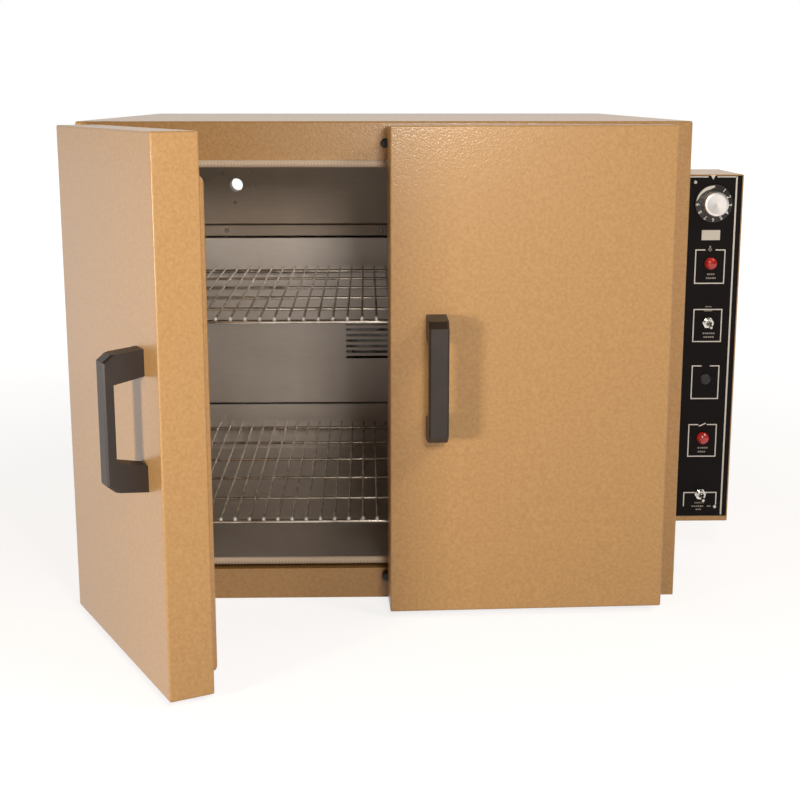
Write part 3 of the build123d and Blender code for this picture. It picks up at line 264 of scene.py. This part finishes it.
@dataclass(frozen=True)
class WovenRope(Finish):
    """Braided glass-fibre rope: slanted strands, matte and pale."""

    shade: str = "#D9C2A8"
    strand: float = 1.3

    def build(self) -> bpy.types.Material:
        """Make the braid from two crossing wave patterns.

        Returns:
            The material.
        """
        material, tree, shader, at = self.start()
        waves = []
        for turn in (0.7, -0.7):
            slant = add_node(tree, "ShaderNodeMapping", {"Rotation": (turn, turn, turn)}, {"Vector": at})
            waves.append(
                add_node(
                    tree,
                    "ShaderNodeTexWave",
                    {"Scale": 1 / (self.strand * MM * WAVE_TURN), "Distortion": 1.2, "Detail": 1.0},
                    {"Vector": slant.outputs[0]},
                )
            )
        braid = add_node(
            tree, "ShaderNodeMath", {"operation": "MULTIPLY"}, {0: waves[0].outputs[1], 1: waves[1].outputs[1]}
        )
        self.tint(tree, shader, braid.outputs[0], (self.shade, self.colour), (0.0, 0.45))
        bump = add_node(tree, "ShaderNodeBump", {"Strength": 0.3, "Distance": 0.0004}, {"Height": braid.outputs[0]})
        tree.links.new(bump.outputs[0], shader.inputs["Normal"])
        return material


@dataclass(frozen=True)
class Moulding(Finish):
    """Moulded phenolic or nylon: a fine eggshell texture and faint flow marks."""

    worn: str = "#4A3A33"
    grit: float = 1.1
    depth: float = 0.2

    def build(self) -> bpy.types.Material:
        """Make the plastic, its texture coarser than the real 0.5 mm so that it shows.

        Returns:
            The material.
        """
        material, tree, shader, at = self.start()
        grain = add_node(
            tree, "ShaderNodeTexNoise", {"Scale": 1 / (self.grit * MM), "Detail": 2.0}, {"Vector": at}
        )
        flow = add_node(tree, "ShaderNodeTexNoise", {"Scale": 22.0, "Detail": 3.0}, {"Vector": at})
        self.tint(tree, shader, flow.outputs[0], (self.colour, self.worn), (0.45, 0.85))
        self.rough(tree, shader, grain.outputs[0], self.roughness - 0.08, self.roughness + 0.1)
        bump = add_node(
            tree, "ShaderNodeBump", {"Strength": self.depth, "Distance": 0.0003}, {"Height": grain.outputs[0]}
        )
        tree.links.new(bump.outputs[0], shader.inputs["Normal"])
        return material


@dataclass(frozen=True)
class PrintedPanel(Finish):
    """Screen-printed plate or ink: a flat even film with a faint orange peel."""

    sheen_level: float = 0.5

    def build(self) -> bpy.types.Material:
        """Make the film.

        Returns:
            The material.
        """
        material, tree, shader, at = self.start()
        shader.inputs["Specular IOR Level"].default_value = self.sheen_level
        peel = add_node(tree, "ShaderNodeTexNoise", {"Scale": 400.0, "Detail": 2.0}, {"Vector": at})
        self.rough(tree, shader, peel.outputs[0], self.roughness - 0.06, self.roughness + 0.06)
        bump = add_node(tree, "ShaderNodeBump", {"Strength": 0.05, "Distance": 0.0002}, {"Height": peel.outputs[0]})
        tree.links.new(bump.outputs[0], shader.inputs["Normal"])
        return material


@dataclass(frozen=True)
class TintedLens(Finish):
    """Moulded polycarbonate lens, coloured through, with a moulded cap that scatters light."""

    deep: str = "#8E1014"

    def build(self) -> bpy.types.Material:
        """Make the lens, darker in random clouds.

        Returns:
            The material.
        """
        material, tree, shader, at = self.start()
        shader.inputs["Coat Weight"].default_value = 0.6
        shader.inputs["Coat Roughness"].default_value = 0.08
        shader.inputs["Subsurface Weight"].default_value = 0.25
        shader.inputs["Subsurface Scale"].default_value = 0.004
        cloud = add_node(tree, "ShaderNodeTexNoise", {"Scale": 120.0, "Detail": 1.0}, {"Vector": at})
        self.tint(tree, shader, cloud.outputs[0], (self.deep, self.colour), (0.2, 0.6))
        return material


@dataclass(frozen=True)
class SpunFace(Finish):
    """Turned aluminium: rings round the knob's axis that make bright fans."""

    x: float = 0.4495
    z: float = 0.5475
    ring: float = 0.6

    def build(self) -> bpy.types.Material:
        """Make the rings about the dial's axis, 0.6 mm apart.

        Returns:
            The material.
        """
        material, tree, shader, at = self.start()
        centre = add_node(tree, "ShaderNodeMapping", {"Location": (-self.x, 0.0, -self.z)}, {"Vector": at})
        rings = add_node(
            tree,
            "ShaderNodeTexWave",
            {
                "wave_type": "RINGS",
                "rings_direction": "Y",
                "Scale": 1 / (self.ring * MM * WAVE_TURN),
                "Distortion": 0.4,
            },
            {"Vector": centre.outputs[0]},
        )
        self.rough(tree, shader, rings.outputs[1], self.roughness, self.roughness + 0.12)
        bump = add_node(tree, "ShaderNodeBump", {"Strength": 0.15, "Distance": 0.0001}, {"Height": rings.outputs[1]})
        tree.links.new(bump.outputs[0], shader.inputs["Normal"])
        return material


@dataclass
class Palette:
    """Every finish of the oven, each made once."""

    tan: Finish = HammeredEnamel("Hammertone_Enamel_Tan", "#C8985C", 0.42)
    zinc: Finish = RolledSheet("Galvanised_Sheet", "#9C9A94", 0.45, 0.8, "#A9A7A0", "#82807A")
    wall: Finish = RolledSheet("Aluminised_Steel_Wall", "#D3CAC2", 0.42, 0.85, "#DED6CF", "#C6BCB2")
    # The duct wears the wall's aluminised steel in a darker copy: painted shade, standing for the shade that the
    # frame's top casts on it.
    duct: Finish = RolledSheet("Aluminised_Steel_Duct_Painted_Shade", "#A09182", 0.4, 0.8, "#AD9F90", "#8E8072")
    wire: Finish = Plating("Nickel_Plated_Wire", "#D6CABB", 0.16, 1.0, "#8A7D70")
    # The beads wear a near-white, less metallic copy of the wires' nickel: a painted highlight that makes them read
    # bright.
    bead: Finish = Plating("Nickel_Bead_Painted_Highlight", "#FFFAF2", 0.42, 0.55, "#EFE8DC")
    bright: Finish = Plating("Bright_Nickel", "#E2DED6", 0.14, 1.0, "#A8A39A")
    steel: Finish = Plating("Drawn_Steel", "#A7A39C", 0.3, 1.0, "#7F7B75")
    rope: Finish = WovenRope("Glass_Fibre_Rope", "#F3DFC8", 0.9)
    wool: Finish = WovenRope("Mineral_Wool", "#C9B88A", 0.95, 0.0, "#9C8B60", 9.0)
    handle: Finish = Moulding("Phenolic_Handle", "#2A1E17", 0.45, 0.0, "#3A2C24")
    black: Finish = PrintedPanel("Black_Panel_Enamel", "#0B0403", 0.6, 0.0, 0.15)
    ink: Finish = PrintedPanel("White_Screen_Ink", "#F2ECE4", 0.55)
    faint_ink: Finish = PrintedPanel("Grey_Screen_Ink", "#A79E97", 0.6)
    plate: Finish = PrintedPanel("Satin_Light_Plate", "#E9E2D4", 0.45)
    skirt: Finish = Moulding("Black_Dial_Skirt", "#1A1412", 0.35, 0.0, "#2B2421", 0.8, 0.08)
    knob: Finish = SpunFace("Spun_Aluminium", "#E6DFDA", 0.28, 1.0)
    lens: Finish = TintedLens("Red_Polycarbonate", "#E0342B", 0.25)
    sheath: Finish = RolledSheet("Oxidised_Heater_Sheath", "#4A423C", 0.5, 0.9, "#5A5048", "#342D28")
    ceramic: Finish = Moulding("Glazed_Ceramic", "#E9E3D6", 0.25, 0.0, "#D8D0C0", 1.5, 0.05)
    motor: Finish = Moulding("Motor_Enamel", "#26292B", 0.35, 0.0, "#33373A", 1.5, 0.1)
    copper: Finish = Plating("Copper_Tube", "#C98A5C", 0.3, 1.0, "#96613F")
    dark_part: Finish = Moulding("Black_Nylon", "#16120F", 0.45, 0.0, "#2A2421", 1.0, 0.12)
    made: dict[str, bpy.types.Material] = field(default_factory=dict)

    def get(self, finish: Finish) -> bpy.types.Material:
        """Give the material of a finish, made the first time it is asked for.

        Args:
            finish: one of the palette's finishes.

        Returns:
            Its material.
        """
        if finish.name not in self.made:
            self.made[finish.name] = finish.build()
        return self.made[finish.name]

    def dress_node(self, node: str, finish: Finish) -> None:
        """Put a finish on every material slot of a CAD node.

        Args:
            node: the CAD node's name.
            finish: the finish that it wears.
        """
        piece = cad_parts[node]
        if not piece.material_slots:
            piece.data.materials.append(self.get(finish))
        for slot in piece.material_slots:
            slot.material = self.get(finish)

    def dress_nodes(self) -> None:
        """Dress each CAD node that the render shows as it is."""
        groups = {
            self.tan: (
                "outer_casing rear_cover motor_cover control_box left_hinge_rail right_hinge_rail "
                "left_door_outer_pan left_door_inner_pan left_hinge_door_leaf "
                "right_door_outer_pan right_door_inner_pan right_hinge_door_leaf"
            ),
            self.zinc: "base_pan vent_sleeve motor_plate shaft_seal bulb_clips wiring_nipple",
            self.wall: "chamber_liner rear_wall_panel lower_wall_panel left_shelf_rack right_shelf_rack",
            # The upper duct panel and the vent bush take the darker copy of the wall steel: painted shade.
            self.duct: "upper_duct_panel vent_bush",
            self.wire: "upper_shelf lower_shelf",
            self.bright: (
                "rear_screws panel_screws switch_bodies switch_nuts upper_switch_lever lower_switch_lever "
                "left_handle_screws right_handle_screws"
            ),
            self.steel: "chamber_screws motor_shaft thermostat_shaft hinge_pins blower_wheel",
            self.rope: "door_seal",
            self.wool: "insulation_slabs left_door_insulation right_door_insulation",
            self.handle: "left_door_handle right_door_handle",
            self.black: "control_panel_plate",
            self.skirt: "dial_skirt",
            self.knob: "dial_knob",
            self.lens: "lamp_lenses",
            self.sheath: "heater_element",
            self.ceramic: "heater_bushings",
            self.motor: "motor",
            self.copper: "thermostat_bulb",
            self.dark_part: "door_magnets lamp_bodies thermostat_body blank_plug terminal_block cable_gland",
        }
        for finish, names in groups.items():
            for name in names.split():
                self.dress_node(name, finish)
        LOG.info("dressed %d nodes", sum(len(names.split()) for names in groups.values()))


def settle(piece: bpy.types.Object, name: str, body: str, material: bpy.types.Material) -> bpy.types.Object:
    """Finish a new piece: apply its place, name it, dress it and let it ride.

    Args:
        piece: the object, with its modifiers applied.
        name: a maker's name for it.
        body: the CAD body that carries it.
        material: its finish.

    Returns:
        The same object.
    """
    bpy.ops.object.select_all(action="DESELECT")
    piece.select_set(True)
    bpy.context.view_layer.objects.active = piece
    bpy.ops.object.transform_apply(location=True, rotation=True, scale=True)
    piece.name = name
    piece.data.name = name
    piece.data.materials.clear()
    piece.data.materials.append(material)
    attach(piece, body)
    LOG.info("%s rides on %s", name, body)
    return piece


def join(pieces: list[bpy.types.Object]) -> bpy.types.Object:
    """Join several meshes into one object.

    Args:
        pieces: the meshes, at least one.

    Returns:
        The object that holds them all.
    """
    bpy.ops.object.select_all(action="DESELECT")
    for piece in pieces:
        piece.select_set(True)
    bpy.context.view_layer.objects.active = pieces[0]
    if len(pieces) > 1:
        bpy.ops.object.join()
    return bpy.context.view_layer.objects.active


def print_bar(x: float, z: float, width: float, height: float, y: float) -> bpy.types.Object:
    """A flat printed bar that faces the front, given by its middle, in bench millimetres.

    Args:
        x, z: the bar's middle.
        width, height: its sides.
        y: how far back it lies.

    Returns:
        The bar, a single face.
    """
    bpy.ops.object.select_all(action="DESELECT")
    bpy.ops.mesh.primitive_plane_add(size=1, location=place(x, y, z), rotation=(math.pi / 2, 0, 0))
    bar = bpy.context.active_object
    bar.scale = (width * MM, height * MM, 1)
    bpy.ops.object.transform_apply(location=True, rotation=True, scale=True)
    return bar


def ink_film(piece: bpy.types.Object, thickness: float) -> None:
    """Give a flat printed mark the thickness of its ink film, in millimetres.

    Args:
        piece: the flat mark.
        thickness: the film's thickness.
    """
    bpy.context.view_layer.objects.active = piece
    film = piece.modifiers.new("film", "SOLIDIFY")
    film.thickness = thickness * MM
    film.offset = 1.0
    bpy.ops.object.modifier_apply(modifier=film.name)


@dataclass
class ControlPanel:
    """The printed marks of the control panel and of its dial."""

    palette: Palette
    x: float = 449.5
    face: float = 46.2
    line: float = 1.5
    right: float = 480.4
    top: float = 583.4
    low: float = 104.0
    dial_z: float = 547.5
    skirt: float = 42.4
    number_radius: float = 21.9
    number_size: float = 7.4
    first_number: float = 52
    number_step: float = 28.5
    arc_radius: float = 24.3
    ink: float = 0.1

    def bars(self, places: list[tuple[float, float, float, float]]) -> list[bpy.types.Object]:
        """Printed bars from their left, right, bottom and top edges."""
        y = self.face - 0.05
        return [print_bar((a + b) / 2, (c + d) / 2, b - a, d - c, y) for a, b, c, d in places]

    def frame_lines(self) -> list[bpy.types.Object]:
        """The border line along the top and the right edge, broken over the dial.

        Returns:
            The border's bars.
        """
        w = self.line
        return self.bars(
            [
                (self.right - 1.1, self.right + 1.1, self.low, self.top + w / 2),
                (409.0, 441.4, self.top - w / 2, self.top + w / 2),
                (453.6, self.right, self.top - w / 2, self.top + w / 2),
            ]
        )

    def outline(
        self, x0: float, x1: float, z0: float, z1: float, gap: tuple[float, float], closed: bool = True
    ) -> list[bpy.types.Object]:
        """A printed rectangle with a gap in its top line.

        Args:
            x0, x1, z0, z1: its edges.
            gap: the ends of the gap in the top line, both 0 for a whole line.
            closed: whether it has a bottom line.

        Returns:
            The bars that draw it.
        """
        h = self.line / 2
        places = [(x0 - h, x0 + h, z0 - h, z1 + h), (x1 - h, x1 + h, z0 - h, z1 + h)]
        if closed:
            places.append((x0 + h, x1 - h, z0 - h, z0 + h))
        spans = [(x0 + h, x1 - h)] if gap[0] == gap[1] else [(x0 + h, gap[0]), (gap[1], x1 - h)]
        places += [(a, b, z1 - h, z1 + h) for a, b in spans]
        return self.bars(places)

    def strokes(self, x: float, z: float, widths: tuple[float, ...], height: float = 2.2) -> list[bpy.types.Object]:
        """A row of plain printed strokes.

        Args:
            x, z: the row's middle.
            widths: each stroke's width, from the left.
            height: the strokes' height.

        Returns:
            The strokes.
        """
        gap = 0.9
        left = x - (sum(widths) + gap * (len(widths) - 1)) / 2
        places = []
        for width in widths:
            places.append((left, left + width, z - height / 2, z + height / 2))
            left += width + gap
        return self.bars(places)

    def legend(self) -> list[bpy.types.Object]:
        """The rows of strokes under the lamps and switches, and the small marks over the boxes.

        Returns:
            The marks.
        """
        rows = [
            (450.3, 450.0, (2.0, 1.6, 2.2, 1.4)),
            (450.8, 444.6, (1.8, 2.2, 1.8, 2.4, 1.6)),
            (451.1, 367.2, (2.2, 1.6, 2.4, 2.0, 2.2, 1.8)),
            (451.4, 361.9, (1.6, 2.4, 2.0, 2.2, 2.4)),
            (450.0, 202.6, (2.4, 2.0, 2.2, 1.8, 2.2)),
            (448.8, 196.9, (1.8, 2.4, 2.0, 1.6)),
            (449.0, 121.6, (1.8, 2.2, 1.8, 2.4, 1.8)),
            (446.5, 116.4, (2.4, 1.6, 2.0, 2.6, 2.0, 1.6)),
            (463.0, 116.4, (2.2, 2.0)),
            (448.0, 111.6, (2.0, 1.6, 2.0)),
        ]
        marks = []
        for x, z, widths in rows:
            marks += self.strokes(x, z, widths)
        marks += self.strokes(449.4, 404.6, (1.6, 1.2, 1.6, 1.2), 1.4)
        marks += self.bars([(443.5, 455.0, 398.4, 399.5), (446.9, 449.1, 481.8, 489.2), (445.6, 450.4, 483.0, 485.6)])
        return marks

    def slanted_mark(self) -> bpy.types.Object:
        """The slanted stroke in the gap over the lower lamp.

        Returns:
            The stroke.
        """
        bar = print_bar(448.4, 236.2, 10.5, 1.6, self.face - 0.05)
        middle = place(448.4, self.face, 236.2)
        bpy.ops.transform.rotate(value=math.radians(24), orient_axis="Y", center_override=middle)
        bpy.ops.object.transform_apply(location=True, rotation=True, scale=True)
        return bar

    def pointer(self) -> None:
        """The dial's index mark: a blunt wedge that points down at the skirt."""
        bpy.ops.object.select_all(action="DESELECT")
        bpy.ops.mesh.primitive_cone_add(
            vertices=3, radius1=4.2 * MM, depth=0.12 * MM, end_fill_type="TRIFAN", location=(0, 0, 0)
        )
        wedge = bpy.context.active_object
        bpy.ops.object.mode_set(mode="EDIT")
        bpy.ops.mesh.select_all(action="SELECT")
        bpy.ops.transform.rotate(value=math.radians(90), orient_axis="X", center_override=(0, 0, 0))
        bpy.ops.object.mode_set(mode="OBJECT")
        low = min(v.co.z for v in wedge.data.vertices)
        high = max(v.co.z for v in wedge.data.vertices)
        upright = abs(high) > abs(low)
        flip = -1 if upright else 1
        for vertex in wedge.data.vertices:
            vertex.co.z *= flip
            vertex.co += place(447.9, self.face - 0.08, 583.8)
        settle(wedge, "dial_index_mark", "cabinet", self.palette.get(self.palette.ink))

    def bare_plate(self) -> None:
        """The small light plate under the dial, left bare."""
        bars = self.bars([(435.4, 460.8, 497.2, 510.9)])
        plate = join(bars)
        ink_film(plate, 0.35)
        settle(plate, "bare_name_plate", "cabinet", self.palette.get(self.palette.plate))

    def dial_marks(self) -> None:
        """The dial's numbers round its rim, upright towards the middle."""
        marks = []
        for step in range(9):
            angle = math.radians(self.first_number - self.number_step * step)
            x = self.x + self.number_radius * math.cos(angle)
            z = self.dial_z + self.number_radius * math.sin(angle)
            bpy.ops.object.select_all(action="DESELECT")
            bpy.ops.object.text_add(location=place(x, self.skirt + 0.35, z), rotation=(math.pi / 2, 0, 0))
            number = bpy.context.active_object
            number.data.body = str(step + 1)
            number.data.align_x = "CENTER"
            number.data.align_y = "CENTER"
            number.data.size = self.number_size * MM
            number.data.offset = 0.18 * MM
            number.data.extrude = 0.35 * MM
            number.data.resolution_u = 2
            number.rotation_euler = (math.pi / 2, math.pi / 2 - angle, 0)
            bpy.ops.object.convert(target="MESH")
            marks.append(bpy.context.active_object)
        settle(join(marks), "dial_numbers", "dial", self.palette.get(self.palette.ink))

    def dial_wedge(self) -> None:
        """The broad white arc of the dial's cool range, which tapers to its left end."""
        steps = 18
        verts = []
        for i in range(steps + 1):
            t = i / steps
            angle = math.radians(88 + 84 * t)
            thick = 4.6 * (1 - t) ** 0.6 * min(1.0, 0.35 + 3.2 * t) + 0.5
            for radius in (self.arc_radius, self.arc_radius - thick):
                verts.append(
                    place(
                        self.x + radius * math.cos(angle), self.skirt + 0.1, self.dial_z + radius * math.sin(angle)
                    )
                )
        mesh = bpy.data.meshes.new("dial_cool_range_arc")
        faces = [(2 * i, 2 * i + 1, 2 * i + 3, 2 * i + 2) for i in range(steps)]
        mesh.from_pydata(verts, [], faces)
        arc = bpy.data.objects.new("dial_cool_range_arc", mesh)
        bpy.context.scene.collection.objects.link(arc)
        bpy.context.view_layer.objects.active = arc
        ink_film(arc, 0.7)
        settle(arc, "dial_cool_range_arc", "dial", self.palette.get(self.palette.ink))

    def build(self) -> None:
        """Print the whole panel."""
        bars = self.frame_lines()
        bars += self.outline(428.4, 468.8, 437.4, 483.6, (441.5, 455.5))
        bars += self.outline(429.4, 468.3, 355.6, 400.8, (0.0, 0.0))
        bars += self.outline(430.5, 468.1, 274.1, 320.9, (443.4, 455.2))
        bars += self.outline(429.4, 468.4, 190.2, 236.4, (442.6, 454.8))
        bars += self.outline(426.3, 472.6, 117.0, 136.7, (442.5, 455.5), False)
        bars.append(self.slanted_mark())
        lines = join(bars)
        ink_film(lines, self.ink)
        settle(lines, "panel_border_lines", "cabinet", self.palette.get(self.palette.ink))
        legend = join(self.legend())
        ink_film(legend, self.ink)
        settle(legend, "panel_legend_strokes", "cabinet", self.palette.get(self.palette.faint_ink))
        self.pointer()
        self.bare_plate()
        self.dial_marks()
        self.dial_wedge()


@dataclass
class ShelfEnds:
    """The beads on the front ends of the shelf wires, whiter and less metallic than the wires' plating: a painted
    highlight.
    """

    palette: Palette
    pitch: float = 20.0
    wires: int = 34
    offset: float = -2.4
    radius: float = 3.1
    front: float = 21.6
    upper_rod: float = 389.0
    lower_rod: float = 104.5
    rod_radius: float = 3.0
    wire_radius: float = 1.75

    def beads(self, z: float, name: str, body: str) -> None:
        """Make one shelf's row of beads.

        Args:
            z: the height of the wires' middles.
            name: the row's name.
            body: the shelf's CAD body.
        """
        row = []
        bpy.ops.object.select_all(action="DESELECT")
        for i in range(self.wires):
            x = self.offset + (i - (self.wires - 1) / 2) * self.pitch
            bpy.ops.mesh.primitive_uv_sphere_add(
                segments=12, ring_count=8, radius=self.radius * MM, location=place(x, self.front, z)
            )
            row.append(bpy.context.active_object)
        beads = join(row)
        bpy.ops.object.shade_smooth()
        # The beads take the whiter copy of the nickel: painted highlight.
        settle(beads, name, body, self.palette.get(self.palette.bead))

    def build(self) -> None:
        """Make both rows."""
        self.beads(self.upper_rod + self.rod_radius + self.wire_radius, "upper_shelf_wire_beads", "upper_wire_shelf")
        self.beads(self.lower_rod + self.rod_radius + self.wire_radius, "lower_shelf_wire_beads", "lower_wire_shelf")


@dataclass
class Studio:
    """The pale floor, the soft lamps, the white background and the camera of the photograph."""

    palette: Palette
    eye: tuple[float, float, float] = (-25.3, -1901.4, 692.8)
    pitch: float = 12.13
    yaw: float = -1.34
    lens: float = 63.9
    fill: float = 0.11
    room: float = 0.1

    def floor(self) -> None:
        """A wide pale floor that shows white to the camera and keeps the object's shadow."""
        bpy.ops.object.select_all(action="DESELECT")
        bpy.ops.mesh.primitive_plane_add(size=30, location=(0, 0, 0))
        floor = bpy.context.active_object
        floor.name = "studio_floor"
        material = bpy.data.materials.new("Studio_Floor")
        material.use_nodes = True
        tree = material.node_tree
        tree.nodes.clear()
        output = add_node(tree, "ShaderNodeOutputMaterial")
        paper = add_node(tree, "ShaderNodeBsdfDiffuse", {"Color": linear("#9E9A95")})
        spot = add_node(tree, "ShaderNodeTexCoord")
        away = add_node(tree, "ShaderNodeVectorMath", {"operation": "LENGTH"}, {0: spot.outputs["Object"]})
        lift = add_node(
            tree,
            "ShaderNodeMapRange",
            {"From Min": 0.7, "From Max": 2.4, "To Min": 0.8, "To Max": 1.0},
            {"Value": away.outputs["Value"]},
        )
        white = add_node(tree, "ShaderNodeEmission", {"Color": (1, 1, 1, 1)}, {"Strength": lift.outputs[0]})
        path = add_node(tree, "ShaderNodeLightPath")
        seen = add_node(
            tree,
            "ShaderNodeMath",
            {"operation": "MAXIMUM"},
            {0: path.outputs["Is Camera Ray"], 1: path.outputs["Is Glossy Ray"]},
        )
        nothing = add_node(tree, "ShaderNodeEmission", {"Strength": 0.0})
        glow = add_node(
            tree, "ShaderNodeMixShader", links={0: seen.outputs[0], 1: nothing.outputs[0], 2: white.outputs[0]}
        )
        both = add_node(tree, "ShaderNodeAddShader", links={0: paper.outputs[0], 1: glow.outputs[0]})
        tree.links.new(both.outputs[0], output.inputs[0])
        floor.data.materials.append(material)

    def world(self) -> None:
        """A white background to the camera and in reflections, and a soft fill on the object."""
        world = bpy.data.worlds.new("studio_white")
        bpy.context.scene.world = world
        world.use_nodes = True
        tree = world.node_tree
        tree.nodes.clear()
        output = add_node(tree, "ShaderNodeOutputWorld")
        path = add_node(tree, "ShaderNodeLightPath")
        direction = add_node(tree, "ShaderNodeTexCoord")
        axes = add_node(tree, "ShaderNodeSeparateXYZ", links={0: direction.outputs["Generated"]})
        shine = add_node(
            tree,
            "ShaderNodeMath",
            {"operation": "MAXIMUM"},
            {0: path.outputs["Is Glossy Ray"], 1: path.outputs["Is Transmission Ray"]},
        )
        backdrop = add_node(
            tree,
            "ShaderNodeMapRange",
            {
                "interpolation_type": "SMOOTHSTEP",
                "From Min": 0.1,
                "From Max": 0.95,
                "To Min": self.room,
                "To Max": 1.0,
            },
            {"Value": axes.outputs["Y"]},
        )
        around = add_node(
            tree,
            "ShaderNodeMapRange",
            {"From Min": -0.2, "From Max": 0.6, "To Min": self.fill, "To Max": 0.6},
            {"Value": axes.outputs["Y"]},
        )
        fill = add_node(
            tree,
            "ShaderNodeMix",
            links={0: shine.outputs[0], 2: around.outputs["Result"], 3: backdrop.outputs["Result"]},
        )
        soft = add_node(
            tree, "ShaderNodeBackground", {"Color": linear("#FFF9F2")}, {"Strength": fill.outputs[0]}
        )
        white = add_node(tree, "ShaderNodeBackground", {"Color": (1, 1, 1, 1), "Strength": 1.0})
        mix = add_node(
            tree,
            "ShaderNodeMixShader",
            links={0: path.outputs["Is Camera Ray"], 1: soft.outputs[0], 2: white.outputs[0]},
        )
        tree.links.new(mix.outputs[0], output.inputs[0])

    def lamp(
        self,
        name: str,
        at: tuple[float, float, float],
        aim: tuple[float, float, float],
        size: float,
        power: float,
    ) -> None:
        """One square soft lamp.

        Args:
            name: the lamp's name.
            at: where it hangs, in metres.
            aim: what it points at, in metres.
            size: its side, in metres.
            power: its watts.
        """
        data = bpy.data.lights.new(name, "AREA")
        data.shape = "SQUARE"
        data.size = size
        data.energy = power
        data.color = (1.0, 0.95, 0.88)
        lamp = bpy.data.objects.new(name, data)
        bpy.context.scene.collection.objects.link(lamp)
        lamp.location = at
        lamp.rotation_euler = (Vector(aim) - Vector(at)).to_track_quat("-Z", "Y").to_euler()

    def camera(self) -> None:
        """The camera of the photograph."""
        data = bpy.data.cameras.new("photo_camera")
        data.lens = self.lens
        data.sensor_width = 36.0
        data.clip_end = 100.0
        camera = bpy.data.objects.new("photo_camera", data)
        bpy.context.scene.collection.objects.link(camera)
        camera.location = place(*self.eye)
        camera.rotation_euler = (math.radians(90 - self.pitch), 0, math.radians(self.yaw))
        bpy.context.scene.camera = camera

    def build(self) -> None:
        """Set the stage."""
        self.floor()
        self.world()
        self.lamp("camera_side_lamp", (0.2, -1.85, 0.84), (0.0, -0.3, 0.4), 0.22, 8.5)
        self.lamp("left_lamp", (-1.2, -1.8, 0.42), (0.0, -0.45, 0.33), 0.25, 14)
        self.lamp("high_right_lamp", (1.5, -1.35, 1.8), (0.0, -0.4, 0.4), 0.5, 12)
        self.camera()


def main() -> None:
    """Dress the frame, add the fine detail and set the stage."""
    logging.basicConfig(level=logging.INFO)
    bpy.context.scene.view_settings.view_transform = "Standard"
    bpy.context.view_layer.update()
    bpy.ops.object.select_all(action="DESELECT")
    palette = Palette()
    Studio(palette).build()
    palette.dress_nodes()
    ControlPanel(palette).build()
    ShelfEnds(palette).build()


if __name__ == "__main__":
    main()
